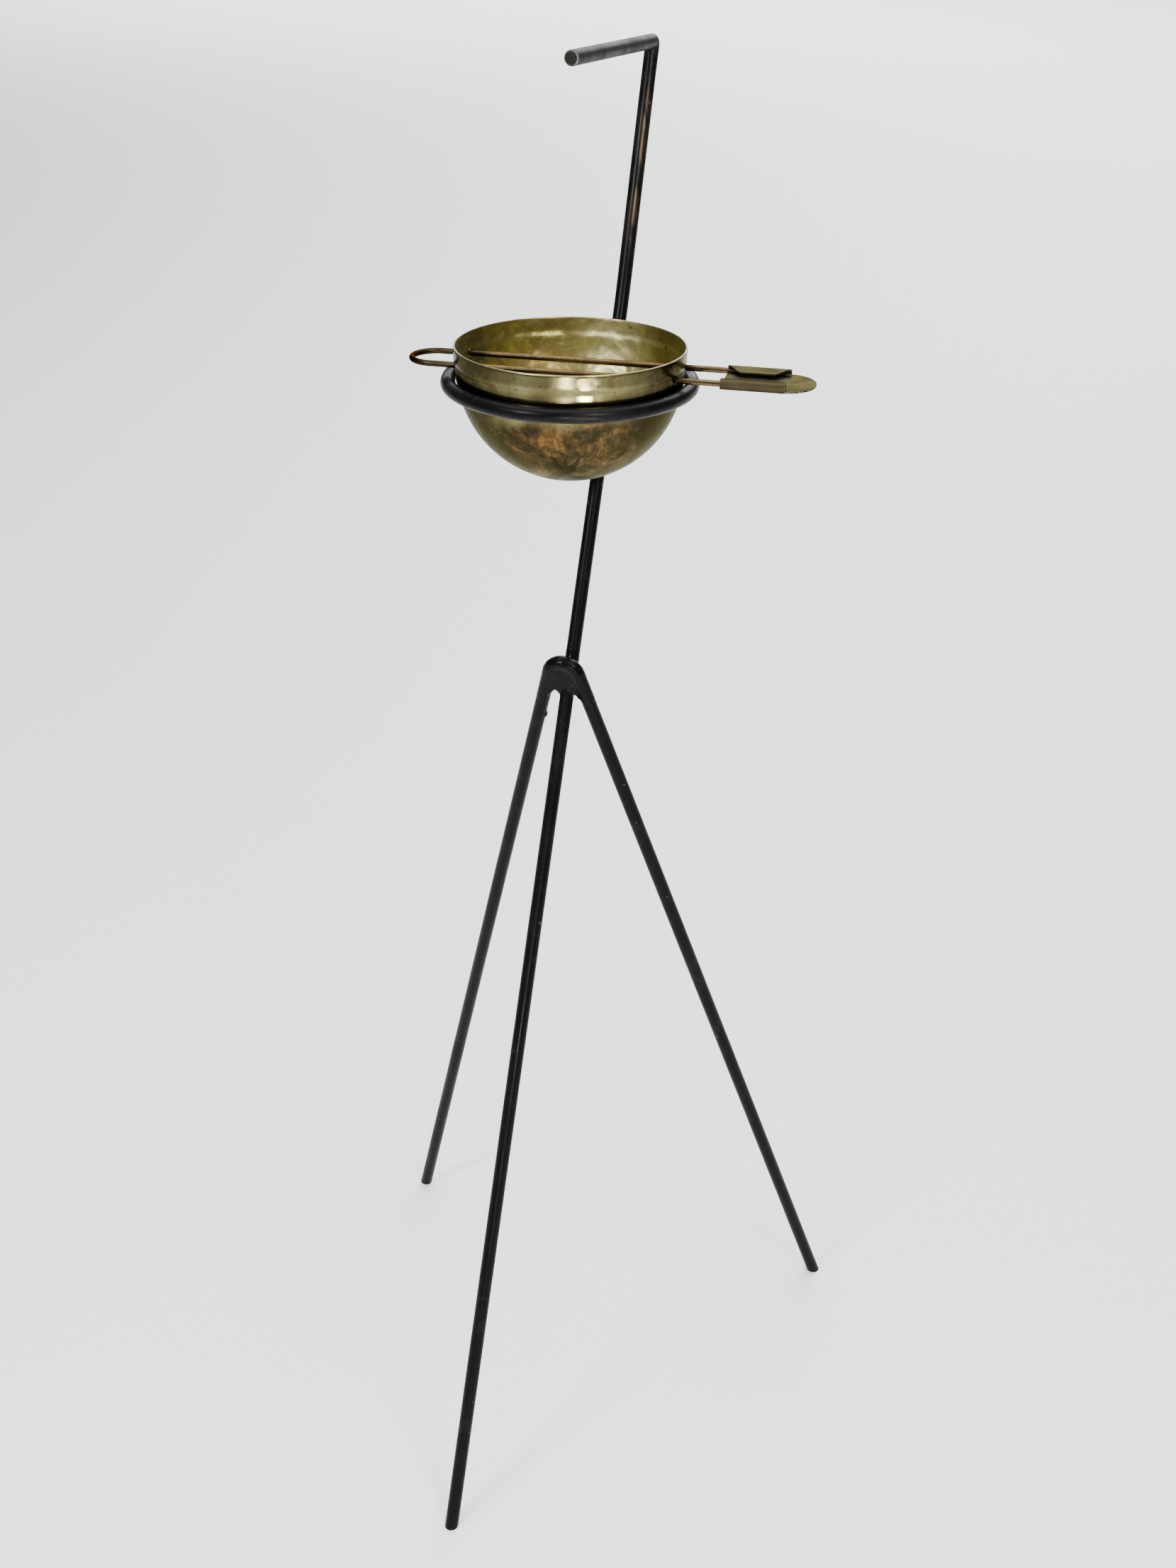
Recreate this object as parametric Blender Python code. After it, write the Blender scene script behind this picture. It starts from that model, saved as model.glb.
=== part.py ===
"""Standing ashtray: a blackened round-bar tripod with a welded ring, and a brass bowl that lifts out of it.

One bar is the front leg, the leaning post and the handle. A second bar, bent into a hairpin, is the two
rear legs, and the post passes through it. A wire bent to a long U lies across the bowl through four holes,
and a sheet plate is rolled round the wire's two ends.

Metres, +Z up. The front leg points to -Y and the clip plate to +X. The shapes are worked out round the
post's own plane, x = 0, and then every piece is moved by PLACE, which puts the origin on the floor under
the middle of the whole object.
"""

import math

import bmesh
import bpy
from mathutils import Matrix, Vector

MM = 0.001

# Stock sizes
BAR_R = 4.0 * MM
WIRE_R = 1.6 * MM
SHEET = 1.0 * MM
BOWL_WALL = 1.2 * MM
GAP = 0.3 * MM

# From the post's plane to the middle of the whole object
PLACE = (7.04 * MM, -10.44 * MM, 0.0)

# The post bar, in the plane x = 0. Leans are from the vertical, backwards.
FRONT_FOOT_Y = -142.2 * MM
LEG_LEAN = math.radians(20.72)
POST_LEAN = math.radians(17.16)
KINK_Z = 680.0 * MM
CORNER_Z = 811.9 * MM
CORNER_INNER_R = 0.3 * MM
CORNER_OUTER_R = 4.7 * MM
HANDLE_RISE = math.radians(1.95)
HANDLE_LENGTH = 120.4 * MM
END_CHAMFER = 0.8 * MM

# The hairpin, in a plane that leans forwards, and set a little askew of the post
REAR_FOOT_X = 147.7 * MM
REAR_FOOT_Y = 156.7 * MM
HAIRPIN_LEAN = math.radians(13.97)
HAIRPIN_SPREAD = math.radians(15.49)
HAIRPIN_BEND_R = 8.8 * MM
HAIRPIN_SKEW = math.radians(2.57)

# The weld inside the hairpin. Its lower edge is in millimetres from the bend's middle: x to the right, then up
LEG_WELD_FRONT = 2.6 * MM
LEG_WELD_BACK = 4.5 * MM
LEG_WELD_DROP = 16.0 * MM
LEG_WELD_EDGE = ((8.8, -13.5), (6.6, -10.2), (5.0, -12.5), (-2.0, -12.5), (-5.0, -8.6), (-8.8, -13.0))

# The ring and the bowl
RING_X = 1.9 * MM
RING_Z = 655.9 * MM
RING_R = 64.2 * MM
BOWL_R = 60.5 * MM
COLLAR_HEIGHT = 10.5 * MM
COLLAR_FLARE = 0.9 * MM
HOLE_R = 2.0 * MM

# The wire and the plate, along the wire from the bowl's middle
WIRE_TURN = math.radians(8.7)
WIRE_BELOW_CENTRE = 1.0 * MM
WIRE_HALF_SPACING = 13.0 * MM
LOOP_END = -85.8 * MM
WIRE_END = 112.0 * MM
PLATE_START = 81.5 * MM
PLATE_END = 114.8 * MM
TONGUE_R = 15.0 * MM
EYE_BORE_R = 1.9 * MM
PLATE_HEIGHT = -1.2 * MM
PLATE_TILT = math.radians(2.2)
FLAP_DEPTH = 10.5 * MM

# Facets
BAR_SIDES = 20
WIRE_SIDES = 12
BOWL_SIDES = 64
BOWL_STEPS = 13
RING_SIDES = 72
CURL_STEPS = 16

X = Vector((1, 0, 0))
Z = Vector((0, 0, 1))


def clear_scene():
    for old in list(bpy.data.objects):
        bpy.data.objects.remove(old, do_unlink=True)


def make_material(name, colour, roughness, metallic):
    material = bpy.data.materials.new(name)
    material.use_nodes = True
    shader = material.node_tree.nodes["Principled BSDF"]
    shader.inputs["Base Color"].default_value = (*colour, 1.0)
    shader.inputs["Roughness"].default_value = roughness
    shader.inputs["Metallic"].default_value = metallic
    material.diffuse_color = (*colour, 1.0)
    return material


def add_object(bm, name, material=None):
    """Turn a bmesh into a named, smooth-shaded object."""
    bmesh.ops.recalc_face_normals(bm, faces=bm.faces)
    mesh = bpy.data.meshes.new(name)
    bm.to_mesh(mesh)
    bm.free()
    mesh.shade_smooth()
    mesh.set_sharp_from_angle(angle=math.radians(35))
    obj = bpy.data.objects.new(name, mesh)
    obj.location = PLACE
    bpy.context.scene.collection.objects.link(obj)
    if material:
        mesh.materials.append(material)
    return obj


def add_tool(bm, name):
    """A shape that only cuts or joins another one."""
    obj = add_object(bm, name)
    obj.hide_render = True
    obj.display_type = "WIRE"
    return obj


def add_boolean(obj, tool, operation):
    modifier = obj.modifiers.new(tool.name, "BOOLEAN")
    modifier.operation = operation
    modifier.solver = "EXACT"
    modifier.object = tool


def yz(y, z):
    return Vector((0.0, y, z))


def section(centre, side, up):
    """A cross-section of a bar: its centre and the half-axes of its ellipse."""
    return (Vector(centre), Vector(side), Vector(up))


def round_section(centre, direction, side, radius):
    """A round cross-section square to the direction that the bar runs in."""
    up = direction.cross(side).normalized()
    return section(centre, side.normalized() * radius, up * radius)


def sweep(sections, sides, closed=False):
    """Bridge one cross-section to the next and cap the two ends."""
    bm = bmesh.new()
    rings = []
    last = len(sections) - 1
    for index, (centre, side, up) in enumerate(sections):
        normal = side.cross(up).normalized()
        place = Matrix((side, up, normal)).transposed().to_4x4()
        place.translation = centre
        capped = not closed and index in (0, last)
        made = bmesh.ops.create_circle(bm, segments=sides, radius=1.0, cap_ends=capped, matrix=place)
        corners = set(made["verts"])
        rings.append([edge for edge in bm.edges if set(edge.verts) <= corners and len(edge.link_faces) < 2])
    pairs = list(zip(rings, rings[1:]))
    if closed:
        pairs.append((rings[-1], rings[0]))
    for lower, upper in pairs:
        bmesh.ops.bridge_loops(bm, edges=lower + upper)
    return bm


def extruded(outline, offset, frame):
    """A prism from a flat outline, pushed out by the offset and put in a frame."""
    bm = bmesh.new()
    face = bm.faces.new([bm.verts.new(point) for point in outline])
    moved = bmesh.ops.extrude_face_region(bm, geom=[face])["geom"]
    bmesh.ops.translate(bm, vec=offset, verts=[item for item in moved if isinstance(item, bmesh.types.BMVert)])
    bmesh.ops.transform(bm, matrix=frame, verts=bm.verts)
    return bm


def foot_sections(foot, direction, radius=BAR_R):
    """The lower end of a leaning bar, cut level with the floor, its edge broken."""
    level = (direction - Z * direction.z).normalized()
    stretch = 1.0 / direction.z
    made = []
    for height, inset in ((0.0, END_CHAMFER), (END_CHAMFER, 0.0)):
        centre = foot + direction * (height / direction.z)
        across = level.cross(Z) * (radius - inset)
        along = level * (radius * stretch - inset)
        made.append(section(centre, across, along))
    lift = 2.0 * radius / direction.z
    made.append(round_section(foot + direction * lift, direction, level.cross(Z), radius))
    return made


def post_y(height):
    """The y of the leg's centre line at a height below the kink."""
    return FRONT_FOOT_Y + height * math.tan(LEG_LEAN)


LEG_WAY = yz(math.sin(LEG_LEAN), math.cos(LEG_LEAN))
POST_WAY = yz(math.sin(POST_LEAN), math.cos(POST_LEAN))
HANDLE_WAY = yz(-math.cos(HANDLE_RISE), math.sin(HANDLE_RISE))
KINK = yz(post_y(KINK_Z), KINK_Z)
CORNER = KINK + POST_WAY * ((CORNER_Z - KINK_Z) / POST_WAY.z)
RING_Y = post_y(RING_Z) - (2.0 * BAR_R + GAP) / math.cos(LEG_LEAN) - RING_R
RING_CENTRE = Vector((RING_X, RING_Y, RING_Z))
BOWL_SEAT = math.sqrt((BOWL_R + BAR_R + GAP) ** 2 - RING_R ** 2)
BOWL_CENTRE = RING_CENTRE + Z * BOWL_SEAT
WIRE_CENTRE = BOWL_CENTRE - Z * WIRE_BELOW_CENTRE
WIRE_FRAME = Matrix.Translation(WIRE_CENTRE) @ Matrix.Rotation(WIRE_TURN, 4, "Z")
HAIRPIN_UP = yz(-math.sin(HAIRPIN_LEAN), math.cos(HAIRPIN_LEAN))
HAIRPIN_BACK = HAIRPIN_UP.cross(X)
SKEW = Matrix.Rotation(HAIRPIN_SKEW, 4, "Z")


def corner_sections():
    """The forged corner under the hand: sharp inside, with a small round outside.

    Each cross-section passes through the inner corner, and reaches out to the round."""
    turn = POST_WAY.angle(HANDLE_WAY)
    half_angle = (math.pi - turn) / 2.0
    bar = 2.0 * BAR_R
    to_inside = (HANDLE_WAY - POST_WAY).normalized()
    pivot = CORNER + to_inside * (BAR_R / math.sin(half_angle))
    arc_offset = (bar - CORNER_OUTER_R) / math.sin(half_angle)
    arc_starts = math.atan2(arc_offset * math.cos(half_angle), bar)
    outward = X.cross(POST_WAY) if X.cross(POST_WAY).dot(to_inside) < 0 else POST_WAY.cross(X)
    made = []
    steps = 10
    for step in range(steps + 1):
        angle = turn * step / steps
        from_middle = angle - turn / 2.0
        if abs(from_middle) > turn / 2.0 - arc_starts:
            reach = bar / math.cos(min(angle, turn - angle))
        else:
            drop = arc_offset * math.sin(from_middle)
            reach = arc_offset * math.cos(from_middle) + math.sqrt(CORNER_OUTER_R ** 2 - drop ** 2)
        ray = outward * math.cos(angle) + POST_WAY * math.sin(angle)
        centre = pivot + ray * (reach + CORNER_INNER_R) / 2.0
        made.append(section(centre, X * BAR_R, ray * (CORNER_INNER_R - reach) / 2.0))
    return made


def post_sections():
    """The whole post bar: foot, leg, slight kink, post, corner and handle."""
    made = foot_sections(yz(FRONT_FOOT_Y, 0.0), LEG_WAY)
    kink_way = (LEG_WAY + POST_WAY).normalized()
    for way, offset in ((LEG_WAY, -12.0 * MM), (kink_way, 0.0), (POST_WAY, 12.0 * MM)):
        made.append(round_section(KINK + way * offset, way, X, BAR_R))
    made += corner_sections()
    handle_end = CORNER + HANDLE_WAY * HANDLE_LENGTH
    made.append(round_section(handle_end - HANDLE_WAY * END_CHAMFER, HANDLE_WAY, X, BAR_R))
    made.append(round_section(handle_end, HANDLE_WAY, X, BAR_R - END_CHAMFER))
    return made


def hairpin_bend_height():
    """How far the middle of the bend is above the feet's line, along the hairpin's plane."""
    apex_height = REAR_FOOT_X / math.tan(HAIRPIN_SPREAD)
    return apex_height - HAIRPIN_BEND_R / math.sin(HAIRPIN_SPREAD)


HAIRPIN_BEND = yz(REAR_FOOT_Y, 0.0) + HAIRPIN_UP * hairpin_bend_height()


def hairpin_mesh(radius):
    """Right foot, straight leg, narrow bend, and the same again down to the left foot."""
    made = []
    legs = []
    for side in (1, -1):
        way = HAIRPIN_UP * math.cos(HAIRPIN_SPREAD) - X * (side * math.sin(HAIRPIN_SPREAD))
        legs.append(foot_sections(Vector((side * REAR_FOOT_X, REAR_FOOT_Y, 0.0)), way, radius))
    made += legs[0]
    bend_start = math.pi / 2.0 - HAIRPIN_SPREAD
    steps = 12
    for step in range(steps + 1):
        angle = bend_start * (1.0 - 2.0 * step / steps)
        spoke = X * math.sin(angle) + HAIRPIN_UP * math.cos(angle)
        way = HAIRPIN_UP * math.sin(angle) - X * math.cos(angle)
        made.append(round_section(HAIRPIN_BEND + spoke * HAIRPIN_BEND_R, way, spoke, radius))
    made += legs[1][::-1]
    bm = sweep(made, BAR_SIDES)
    bmesh.ops.transform(bm, matrix=SKEW, verts=bm.verts)
    return bm


def add_post_rod(material):
    return add_object(sweep(post_sections(), BAR_SIDES), "post_rod", material)


def add_rear_legs(material):
    return add_object(hairpin_mesh(BAR_R), "rear_legs", material)


def leg_clearance():
    """The straight leg below the kink, a gap thicker, to cut the welds with."""
    bm = sweep([round_section(KINK + LEG_WAY * offset, LEG_WAY, X, BAR_R + GAP)
                for offset in (-0.35, 0.0)], BAR_SIDES)
    return add_tool(bm, "leg_clearance")


def add_leg_weld(material, leg_cutter):
    """Filler between the hairpin and the leg, cut clear of both bars."""
    bend_start = math.pi / 2.0 - HAIRPIN_SPREAD
    outline = []
    steps = 8
    for step in range(steps + 1):
        angle = bend_start * (2.0 * step / steps - 1.0)
        outline.append((HAIRPIN_BEND_R * math.sin(angle), HAIRPIN_BEND_R * math.cos(angle)))
    leg_x = (HAIRPIN_BEND_R / math.sin(HAIRPIN_SPREAD) + LEG_WELD_DROP) * math.tan(HAIRPIN_SPREAD)
    outline.append((leg_x, -LEG_WELD_DROP))
    outline += [(x * MM, up * MM) for x, up in LEG_WELD_EDGE]
    outline.append((-leg_x, -LEG_WELD_DROP))
    front = HAIRPIN_BEND - HAIRPIN_BACK * LEG_WELD_FRONT
    corners = [front + X * x + HAIRPIN_UP * up for x, up in outline]
    weld = add_object(extruded(corners, HAIRPIN_BACK * (LEG_WELD_FRONT + LEG_WELD_BACK), SKEW),
                      "leg_weld", material)
    add_boolean(weld, add_tool(hairpin_mesh(BAR_R + GAP), "hairpin_clearance"), "DIFFERENCE")
    add_boolean(weld, leg_cutter, "DIFFERENCE")
    return weld


def ring_mesh(radius):
    """A closed ring of round bar, level, round the bowl's place."""
    made = []
    for step in range(RING_SIDES):
        angle = math.tau * step / RING_SIDES
        spoke = Vector((math.cos(angle), math.sin(angle), 0.0))
        made.append(section(RING_CENTRE + spoke * RING_R, spoke * radius, Z * radius))
    return sweep(made, BAR_SIDES, closed=True)


def add_bowl_ring(material):
    return add_object(ring_mesh(BAR_R), "bowl_ring", material)


def add_ring_weld(material, leg_cutter):
    """A bead of filler all round the place where the ring's back meets the post."""
    seat = yz(RING_Y + RING_R + BAR_R, RING_Z)
    bm = bmesh.new()
    size = Matrix.Diagonal((8.0 * MM, 4.2 * MM, 6.5 * MM, 1.0))
    place = Matrix.Translation(seat) @ size
    bmesh.ops.create_uvsphere(bm, u_segments=20, v_segments=12, radius=1.0, matrix=place)
    weld = add_object(bm, "ring_weld", material)
    add_boolean(weld, add_tool(ring_mesh(BAR_R + GAP), "ring_clearance"), "DIFFERENCE")
    add_boolean(weld, leg_cutter, "DIFFERENCE")
    return weld


def add_bowl(material):
    """A half sphere with a slightly flared collar, turned as one wall, with four holes for the wire."""
    bm = bmesh.new()
    profile = []
    for radius, way in ((BOWL_R, 1), (BOWL_R - BOWL_WALL, -1)):
        arc = []
        for step in range(BOWL_STEPS + 1):
            angle = math.pi / 2.0 * step / BOWL_STEPS
            arc.append((radius * math.sin(angle), -radius * math.cos(angle)))
        arc.append((radius + 0.7 * COLLAR_FLARE, 0.3 * COLLAR_HEIGHT))
        arc.append((radius + COLLAR_FLARE, COLLAR_HEIGHT))
        profile += arc[::way]
    corners = [bm.verts.new(BOWL_CENTRE + Vector((x, 0.0, z))) for x, z in profile]
    edges = [bm.edges.new(pair) for pair in zip(corners, corners[1:])]
    bmesh.ops.spin(bm, geom=corners + edges, cent=BOWL_CENTRE, axis=Z, dvec=(0, 0, 0), angle=math.tau,
                   steps=BOWL_SIDES, use_merge=True, use_duplicate=False)
    bmesh.ops.remove_doubles(bm, verts=bm.verts, dist=0.001 * MM)
    bowl = add_object(bm, "bowl", material)
    for side, label in ((-1, "front"), (1, "back")):
        drill = bmesh.new()
        place = WIRE_FRAME @ Matrix.Translation((0.0, side * WIRE_HALF_SPACING, 0.0))
        turned = place @ Matrix.Rotation(math.pi / 2.0, 4, "Y")
        bmesh.ops.create_cone(drill, cap_ends=True, segments=16, radius1=HOLE_R, radius2=HOLE_R,
                              depth=3.0 * BOWL_R, matrix=turned)
        add_boolean(bowl, add_tool(drill, "hole_" + label), "DIFFERENCE")
    return bowl


def add_wire_loop(material):
    """A wire bent to a long U: two level runs and a half-round loop."""
    loop_centre = Vector((LOOP_END + WIRE_HALF_SPACING, 0.0, 0.0))
    made = []
    front_end = Vector((WIRE_END, -WIRE_HALF_SPACING, 0.0))
    made.append(round_section(front_end, -X, Z, WIRE_R))
    steps = 16
    for step in range(steps + 1):
        angle = -math.pi / 2.0 - math.pi * step / steps
        spoke = Vector((math.cos(angle), math.sin(angle), 0.0))
        heading = Vector((math.sin(angle), -math.cos(angle), 0.0))
        made.append(round_section(loop_centre + spoke * WIRE_HALF_SPACING, heading, Z, WIRE_R))
    back_end = Vector((WIRE_END, WIRE_HALF_SPACING, 0.0))
    made.append(round_section(back_end, X, Z, WIRE_R))
    bm = sweep(made, WIRE_SIDES)
    bmesh.ops.transform(bm, matrix=WIRE_FRAME, verts=bm.verts)
    return add_object(bm, "wire_loop", material)


def curl(start, end, side):
    """Sheet rolled round the wire on one side of the plate, from one angle to the other."""
    outline = []
    for radius, way in ((EYE_BORE_R + SHEET, 1), (EYE_BORE_R, -1)):
        arc = []
        for step in range(CURL_STEPS + 1):
            angle = start + (end - start) * step / CURL_STEPS
            arc.append(Vector((PLATE_START, side * WIRE_HALF_SPACING + radius * math.cos(angle),
                               radius * math.sin(angle))))
        outline += arc[::way]
    return extruded(outline, (PLATE_END - PLATE_START, 0.0, 0.0), WIRE_FRAME)


def add_clip_plate(material):
    """The plate with its tongue, rolled shut round the front wire, and over the back wire into a flap."""
    tilt = Matrix.Translation((0.0, 0.0, PLATE_HEIGHT)) @ Matrix.Rotation(PLATE_TILT, 4, "X")
    eye_r = EYE_BORE_R + SHEET / 2.0
    front_edge = -WIRE_HALF_SPACING + eye_r * 0.7
    back_edge = WIRE_HALF_SPACING - eye_r * 0.95
    tongue_start = PLATE_END - SHEET / 2.0
    low = -SHEET / 2.0
    outline = [Vector((PLATE_START, front_edge, low)), Vector((tongue_start, front_edge, low))]
    for step in range(CURL_STEPS + 1):
        angle = -math.pi / 2.0 + math.pi * step / CURL_STEPS
        outline.append(Vector((tongue_start + TONGUE_R * math.cos(angle), TONGUE_R * math.sin(angle), low)))
    outline += [Vector((tongue_start, back_edge, low)), Vector((PLATE_START, back_edge, low))]
    plate = add_object(extruded(outline, (0.0, 0.0, SHEET), WIRE_FRAME @ tilt), "clip_plate", material)

    closed_eye = curl(math.radians(-4), math.radians(352), -1)
    add_boolean(plate, add_tool(closed_eye, "front_curl"), "UNION")
    open_eye = curl(math.radians(192), math.radians(450), 1)
    add_boolean(plate, add_tool(open_eye, "back_curl"), "UNION")

    flap_middle = (PLATE_START + PLATE_END) / 2.0
    half_length = (PLATE_END - PLATE_START) / 2.0 - 0.2 * MM
    base = WIRE_HALF_SPACING + 0.4 * MM
    flap_low = EYE_BORE_R + 0.05 * MM
    outline = [Vector((flap_middle + half_length, base, flap_low)),
               Vector((flap_middle - half_length, base, flap_low))]
    for step in range(CURL_STEPS + 1):
        across = -1.0 + 2.0 * step / CURL_STEPS
        bulge = (1.0 + math.cos(math.pi * across)) / 2.0
        reach = WIRE_HALF_SPACING - 0.8 * MM - FLAP_DEPTH * bulge
        outline.append(Vector((flap_middle + half_length * across, reach, flap_low)))
    flap = extruded(outline, (0.0, 0.0, SHEET - 0.1 * MM), WIRE_FRAME)
    add_boolean(plate, add_tool(flap, "flap"), "UNION")
    return plate


def main():
    clear_scene()
    black_bar = make_material("black_bar", (0.012, 0.012, 0.013), 0.35, 0.6)
    black_weld = make_material("black_weld", (0.01, 0.01, 0.011), 0.25, 0.6)
    brass_bowl = make_material("bowl_brass", (0.23, 0.17, 0.06), 0.35, 1.0)
    bronze_wire = make_material("bronze_wire", (0.35, 0.2, 0.09), 0.3, 1.0)
    brass_sheet = make_material("sheet_brass", (0.22, 0.18, 0.1), 0.45, 1.0)
    add_post_rod(black_bar)
    add_rear_legs(black_bar.copy())
    leg_cutter = leg_clearance()
    add_leg_weld(black_weld, leg_cutter)
    add_bowl_ring(black_bar.copy())
    add_ring_weld(black_weld.copy(), leg_cutter)
    add_bowl(brass_bowl)
    add_wire_loop(bronze_wire)
    add_clip_plate(brass_sheet)


main()
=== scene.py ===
"""Standing ashtray: a blackened round-bar tripod with a welded ring, a turned brass bowl that lifts out of it,
and a wire loop with a rolled sheet clip that slides through the bowl.

Metres, +Z up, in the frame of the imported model. The stand's shapes are worked out round the post's own
plane, x = 0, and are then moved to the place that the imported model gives.
"""

import math

import bmesh
import bpy
from bpy.props import FloatProperty, FloatVectorProperty, PointerProperty
from bpy.types import Operator, Panel, PropertyGroup
from mathutils import Matrix, Vector, noise


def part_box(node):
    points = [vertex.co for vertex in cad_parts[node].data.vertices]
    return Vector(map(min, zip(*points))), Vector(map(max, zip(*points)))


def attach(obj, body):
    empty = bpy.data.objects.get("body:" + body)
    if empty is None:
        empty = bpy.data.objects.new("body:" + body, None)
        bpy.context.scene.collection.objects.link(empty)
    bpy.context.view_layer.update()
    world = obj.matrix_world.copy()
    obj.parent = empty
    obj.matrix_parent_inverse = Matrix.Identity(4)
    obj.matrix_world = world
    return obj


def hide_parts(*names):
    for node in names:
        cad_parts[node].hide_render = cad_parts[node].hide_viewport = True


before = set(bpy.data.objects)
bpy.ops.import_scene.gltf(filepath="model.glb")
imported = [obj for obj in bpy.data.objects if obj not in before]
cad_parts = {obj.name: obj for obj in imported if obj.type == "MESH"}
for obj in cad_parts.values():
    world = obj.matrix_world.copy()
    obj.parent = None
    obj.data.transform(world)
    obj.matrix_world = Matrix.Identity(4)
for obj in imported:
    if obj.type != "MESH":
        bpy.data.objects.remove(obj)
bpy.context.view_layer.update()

bl_info = {
    "name": "Standing ashtray",
    "version": (1, 0, 0),
    "blender": (4, 5, 0),
    "location": "3D View > Sidebar > Ashtray",
    "description": "Builds a tripod ashtray with a lift-out brass bowl, piece by piece",
    "category": "Add Mesh",
}

MM = 0.001
X = Vector((1, 0, 0))
Y = Vector((0, 1, 0))
Z = Vector((0, 0, 1))

RING_LOW, RING_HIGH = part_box("bowl_ring")
RING_CENTRE = (RING_LOW + RING_HIGH) / 2
BOWL_LOW, BOWL_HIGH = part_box("bowl")
POST_LOW, POST_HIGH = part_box("post_rod")
BAR_RADIUS = (RING_HIGH.z - RING_LOW.z) / 2
RING_RADIUS = (RING_HIGH.x - RING_LOW.x) / 2 - BAR_RADIUS
COLLAR_FLARE = 0.9 * MM
BOWL_RADIUS = (BOWL_HIGH.x - BOWL_LOW.x) / 2 - COLLAR_FLARE
BOWL_CENTRE = Vector((RING_CENTRE.x, RING_CENTRE.y, BOWL_LOW.z + BOWL_RADIUS))
POST_X = (POST_LOW.x + POST_HIGH.x) / 2


# ---------------------------------------------------------------- sizes and colours

def length(name, description, default, low=0.0, high=2.0):
    return FloatProperty(name=name, description=description, default=default, min=low, max=high,
                         subtype="DISTANCE", unit="LENGTH")


def angle(name, description, degrees):
    return FloatProperty(name=name, description=description, default=math.radians(degrees),
                         subtype="ANGLE", unit="ROTATION")


def colour(name, description, default):
    return FloatVectorProperty(name=name, description=description, default=default, size=3,
                               min=0.0, max=1.0, subtype="COLOR")


def share(name, description, default):
    return FloatProperty(name=name, description=description, default=default, min=0.0, max=1.0,
                         subtype="FACTOR")


class StandSettings(PropertyGroup):
    bar_radius: length("Bar radius", "Radius of the round bar", BAR_RADIUS)
    leg_lean: angle("Leg lean", "Front leg's lean from the vertical, backwards", 20.72)
    post_lean: angle("Post lean", "Lean of the post above its slight kink", 17.16)
    foot_to_post: length("Foot depth", "From the front foot to the middle of the stand's plan", 0.1422)
    kink_height: length("Kink height", "Height of the slight kink in the post", 0.680)
    corner_height: length("Corner height", "Height where the post and handle lines meet", 0.8119)
    corner_outer: length("Corner round", "Outer round of the corner under the hand", 0.0047)
    handle_rise: angle("Handle rise", "How far the handle points up", 1.95)
    handle_length: length("Handle length", "From the corner to the handle's end", 0.1204)
    end_round: length("End round", "Broken edge of a cut bar", 0.0008)
    rear_foot_x: length("Rear foot side", "From the middle to each rear foot", 0.1477)
    rear_foot_y: length("Rear foot depth", "From the middle back to the rear feet", 0.1567)
    hairpin_lean: angle("Hairpin lean", "Rear legs' lean from the vertical, forwards", 13.97)
    hairpin_spread: angle("Hairpin spread", "Each rear leg's angle from the hairpin's middle", 15.49)
    hairpin_bend: length("Hairpin bend", "Radius of the bend at the bar's centre line", 0.0088)
    hairpin_skew: angle("Hairpin skew", "Turn of the rear legs round the vertical", 2.57)
    paint: colour("Black", "Blackened finish of the bars", (0.0022, 0.0022, 0.0025))
    wear_and_painted_highlight: colour("Worn black", "Brown metal where the black has rubbed thin", (0.060, 0.040, 0.024))
    handled: colour("Handled black", "Grey-green metal of the handle", (0.014, 0.0145, 0.012))
    speck: colour("Specks", "Pale specks and scuffs in the black", (0.085, 0.078, 0.066))
    gloss: share("Roughness", "Roughness of clean black finish", 0.30)


class BowlSettings(PropertyGroup):
    wall: length("Wall", "Thickness of the turned brass", 0.0012)
    hole_radius: length("Hole radius", "Radius of the four wire holes", 0.0020)
    inside: colour("Inside", "Brass inside the bowl", (0.300, 0.262, 0.092))
    inside_dark: colour("Inside tarnish", "Tarnish inside the bowl", (0.085, 0.058, 0.016))
    # The pale inside colour also paints the highlight on the inside back wall.
    inside_pale: colour("Inside rubbed", "Rubbed brass inside the bowl", (0.56, 0.53, 0.27))
    collar: colour("Collar", "Brass of the collar", (0.175, 0.160, 0.070))
    # The underside colour also paints the collar's reflection streaks and the shade on its left and right
    # sides.
    under: colour("Underside", "Dark patina under the ring", (0.020, 0.016, 0.008))
    rust: colour("Orange patina", "Orange-brown mottling of the underside", (0.140, 0.070, 0.016))
    soot: colour("Soot", "Dark stain round the holes", (0.014, 0.010, 0.006))
    rim: colour("Rim", "Rubbed edge of the rim", (0.25, 0.22, 0.10))


class WireSettings(PropertyGroup):
    radius: length("Wire radius", "Radius of the bent wire", 0.0016)
    turn: angle("Turn", "Direction of the wire, from the X axis", 8.7)
    below: length("Below centre", "Wire's depth below the bowl's centre", 0.0010)
    half_spacing: length("Half spacing", "From the middle to each run of wire", 0.0130)
    loop_end: length("Loop end", "Reach of the wire's centre line on the loop side", 0.0858)
    wire_end: length("Wire end", "Reach of the wire on the clip side", 0.1120)
    bronze: colour("Bronze", "Bright wire", (0.095, 0.067, 0.032))
    bronze_dark: colour("Tarnish", "Tarnished wire", (0.016, 0.012, 0.008))


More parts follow.
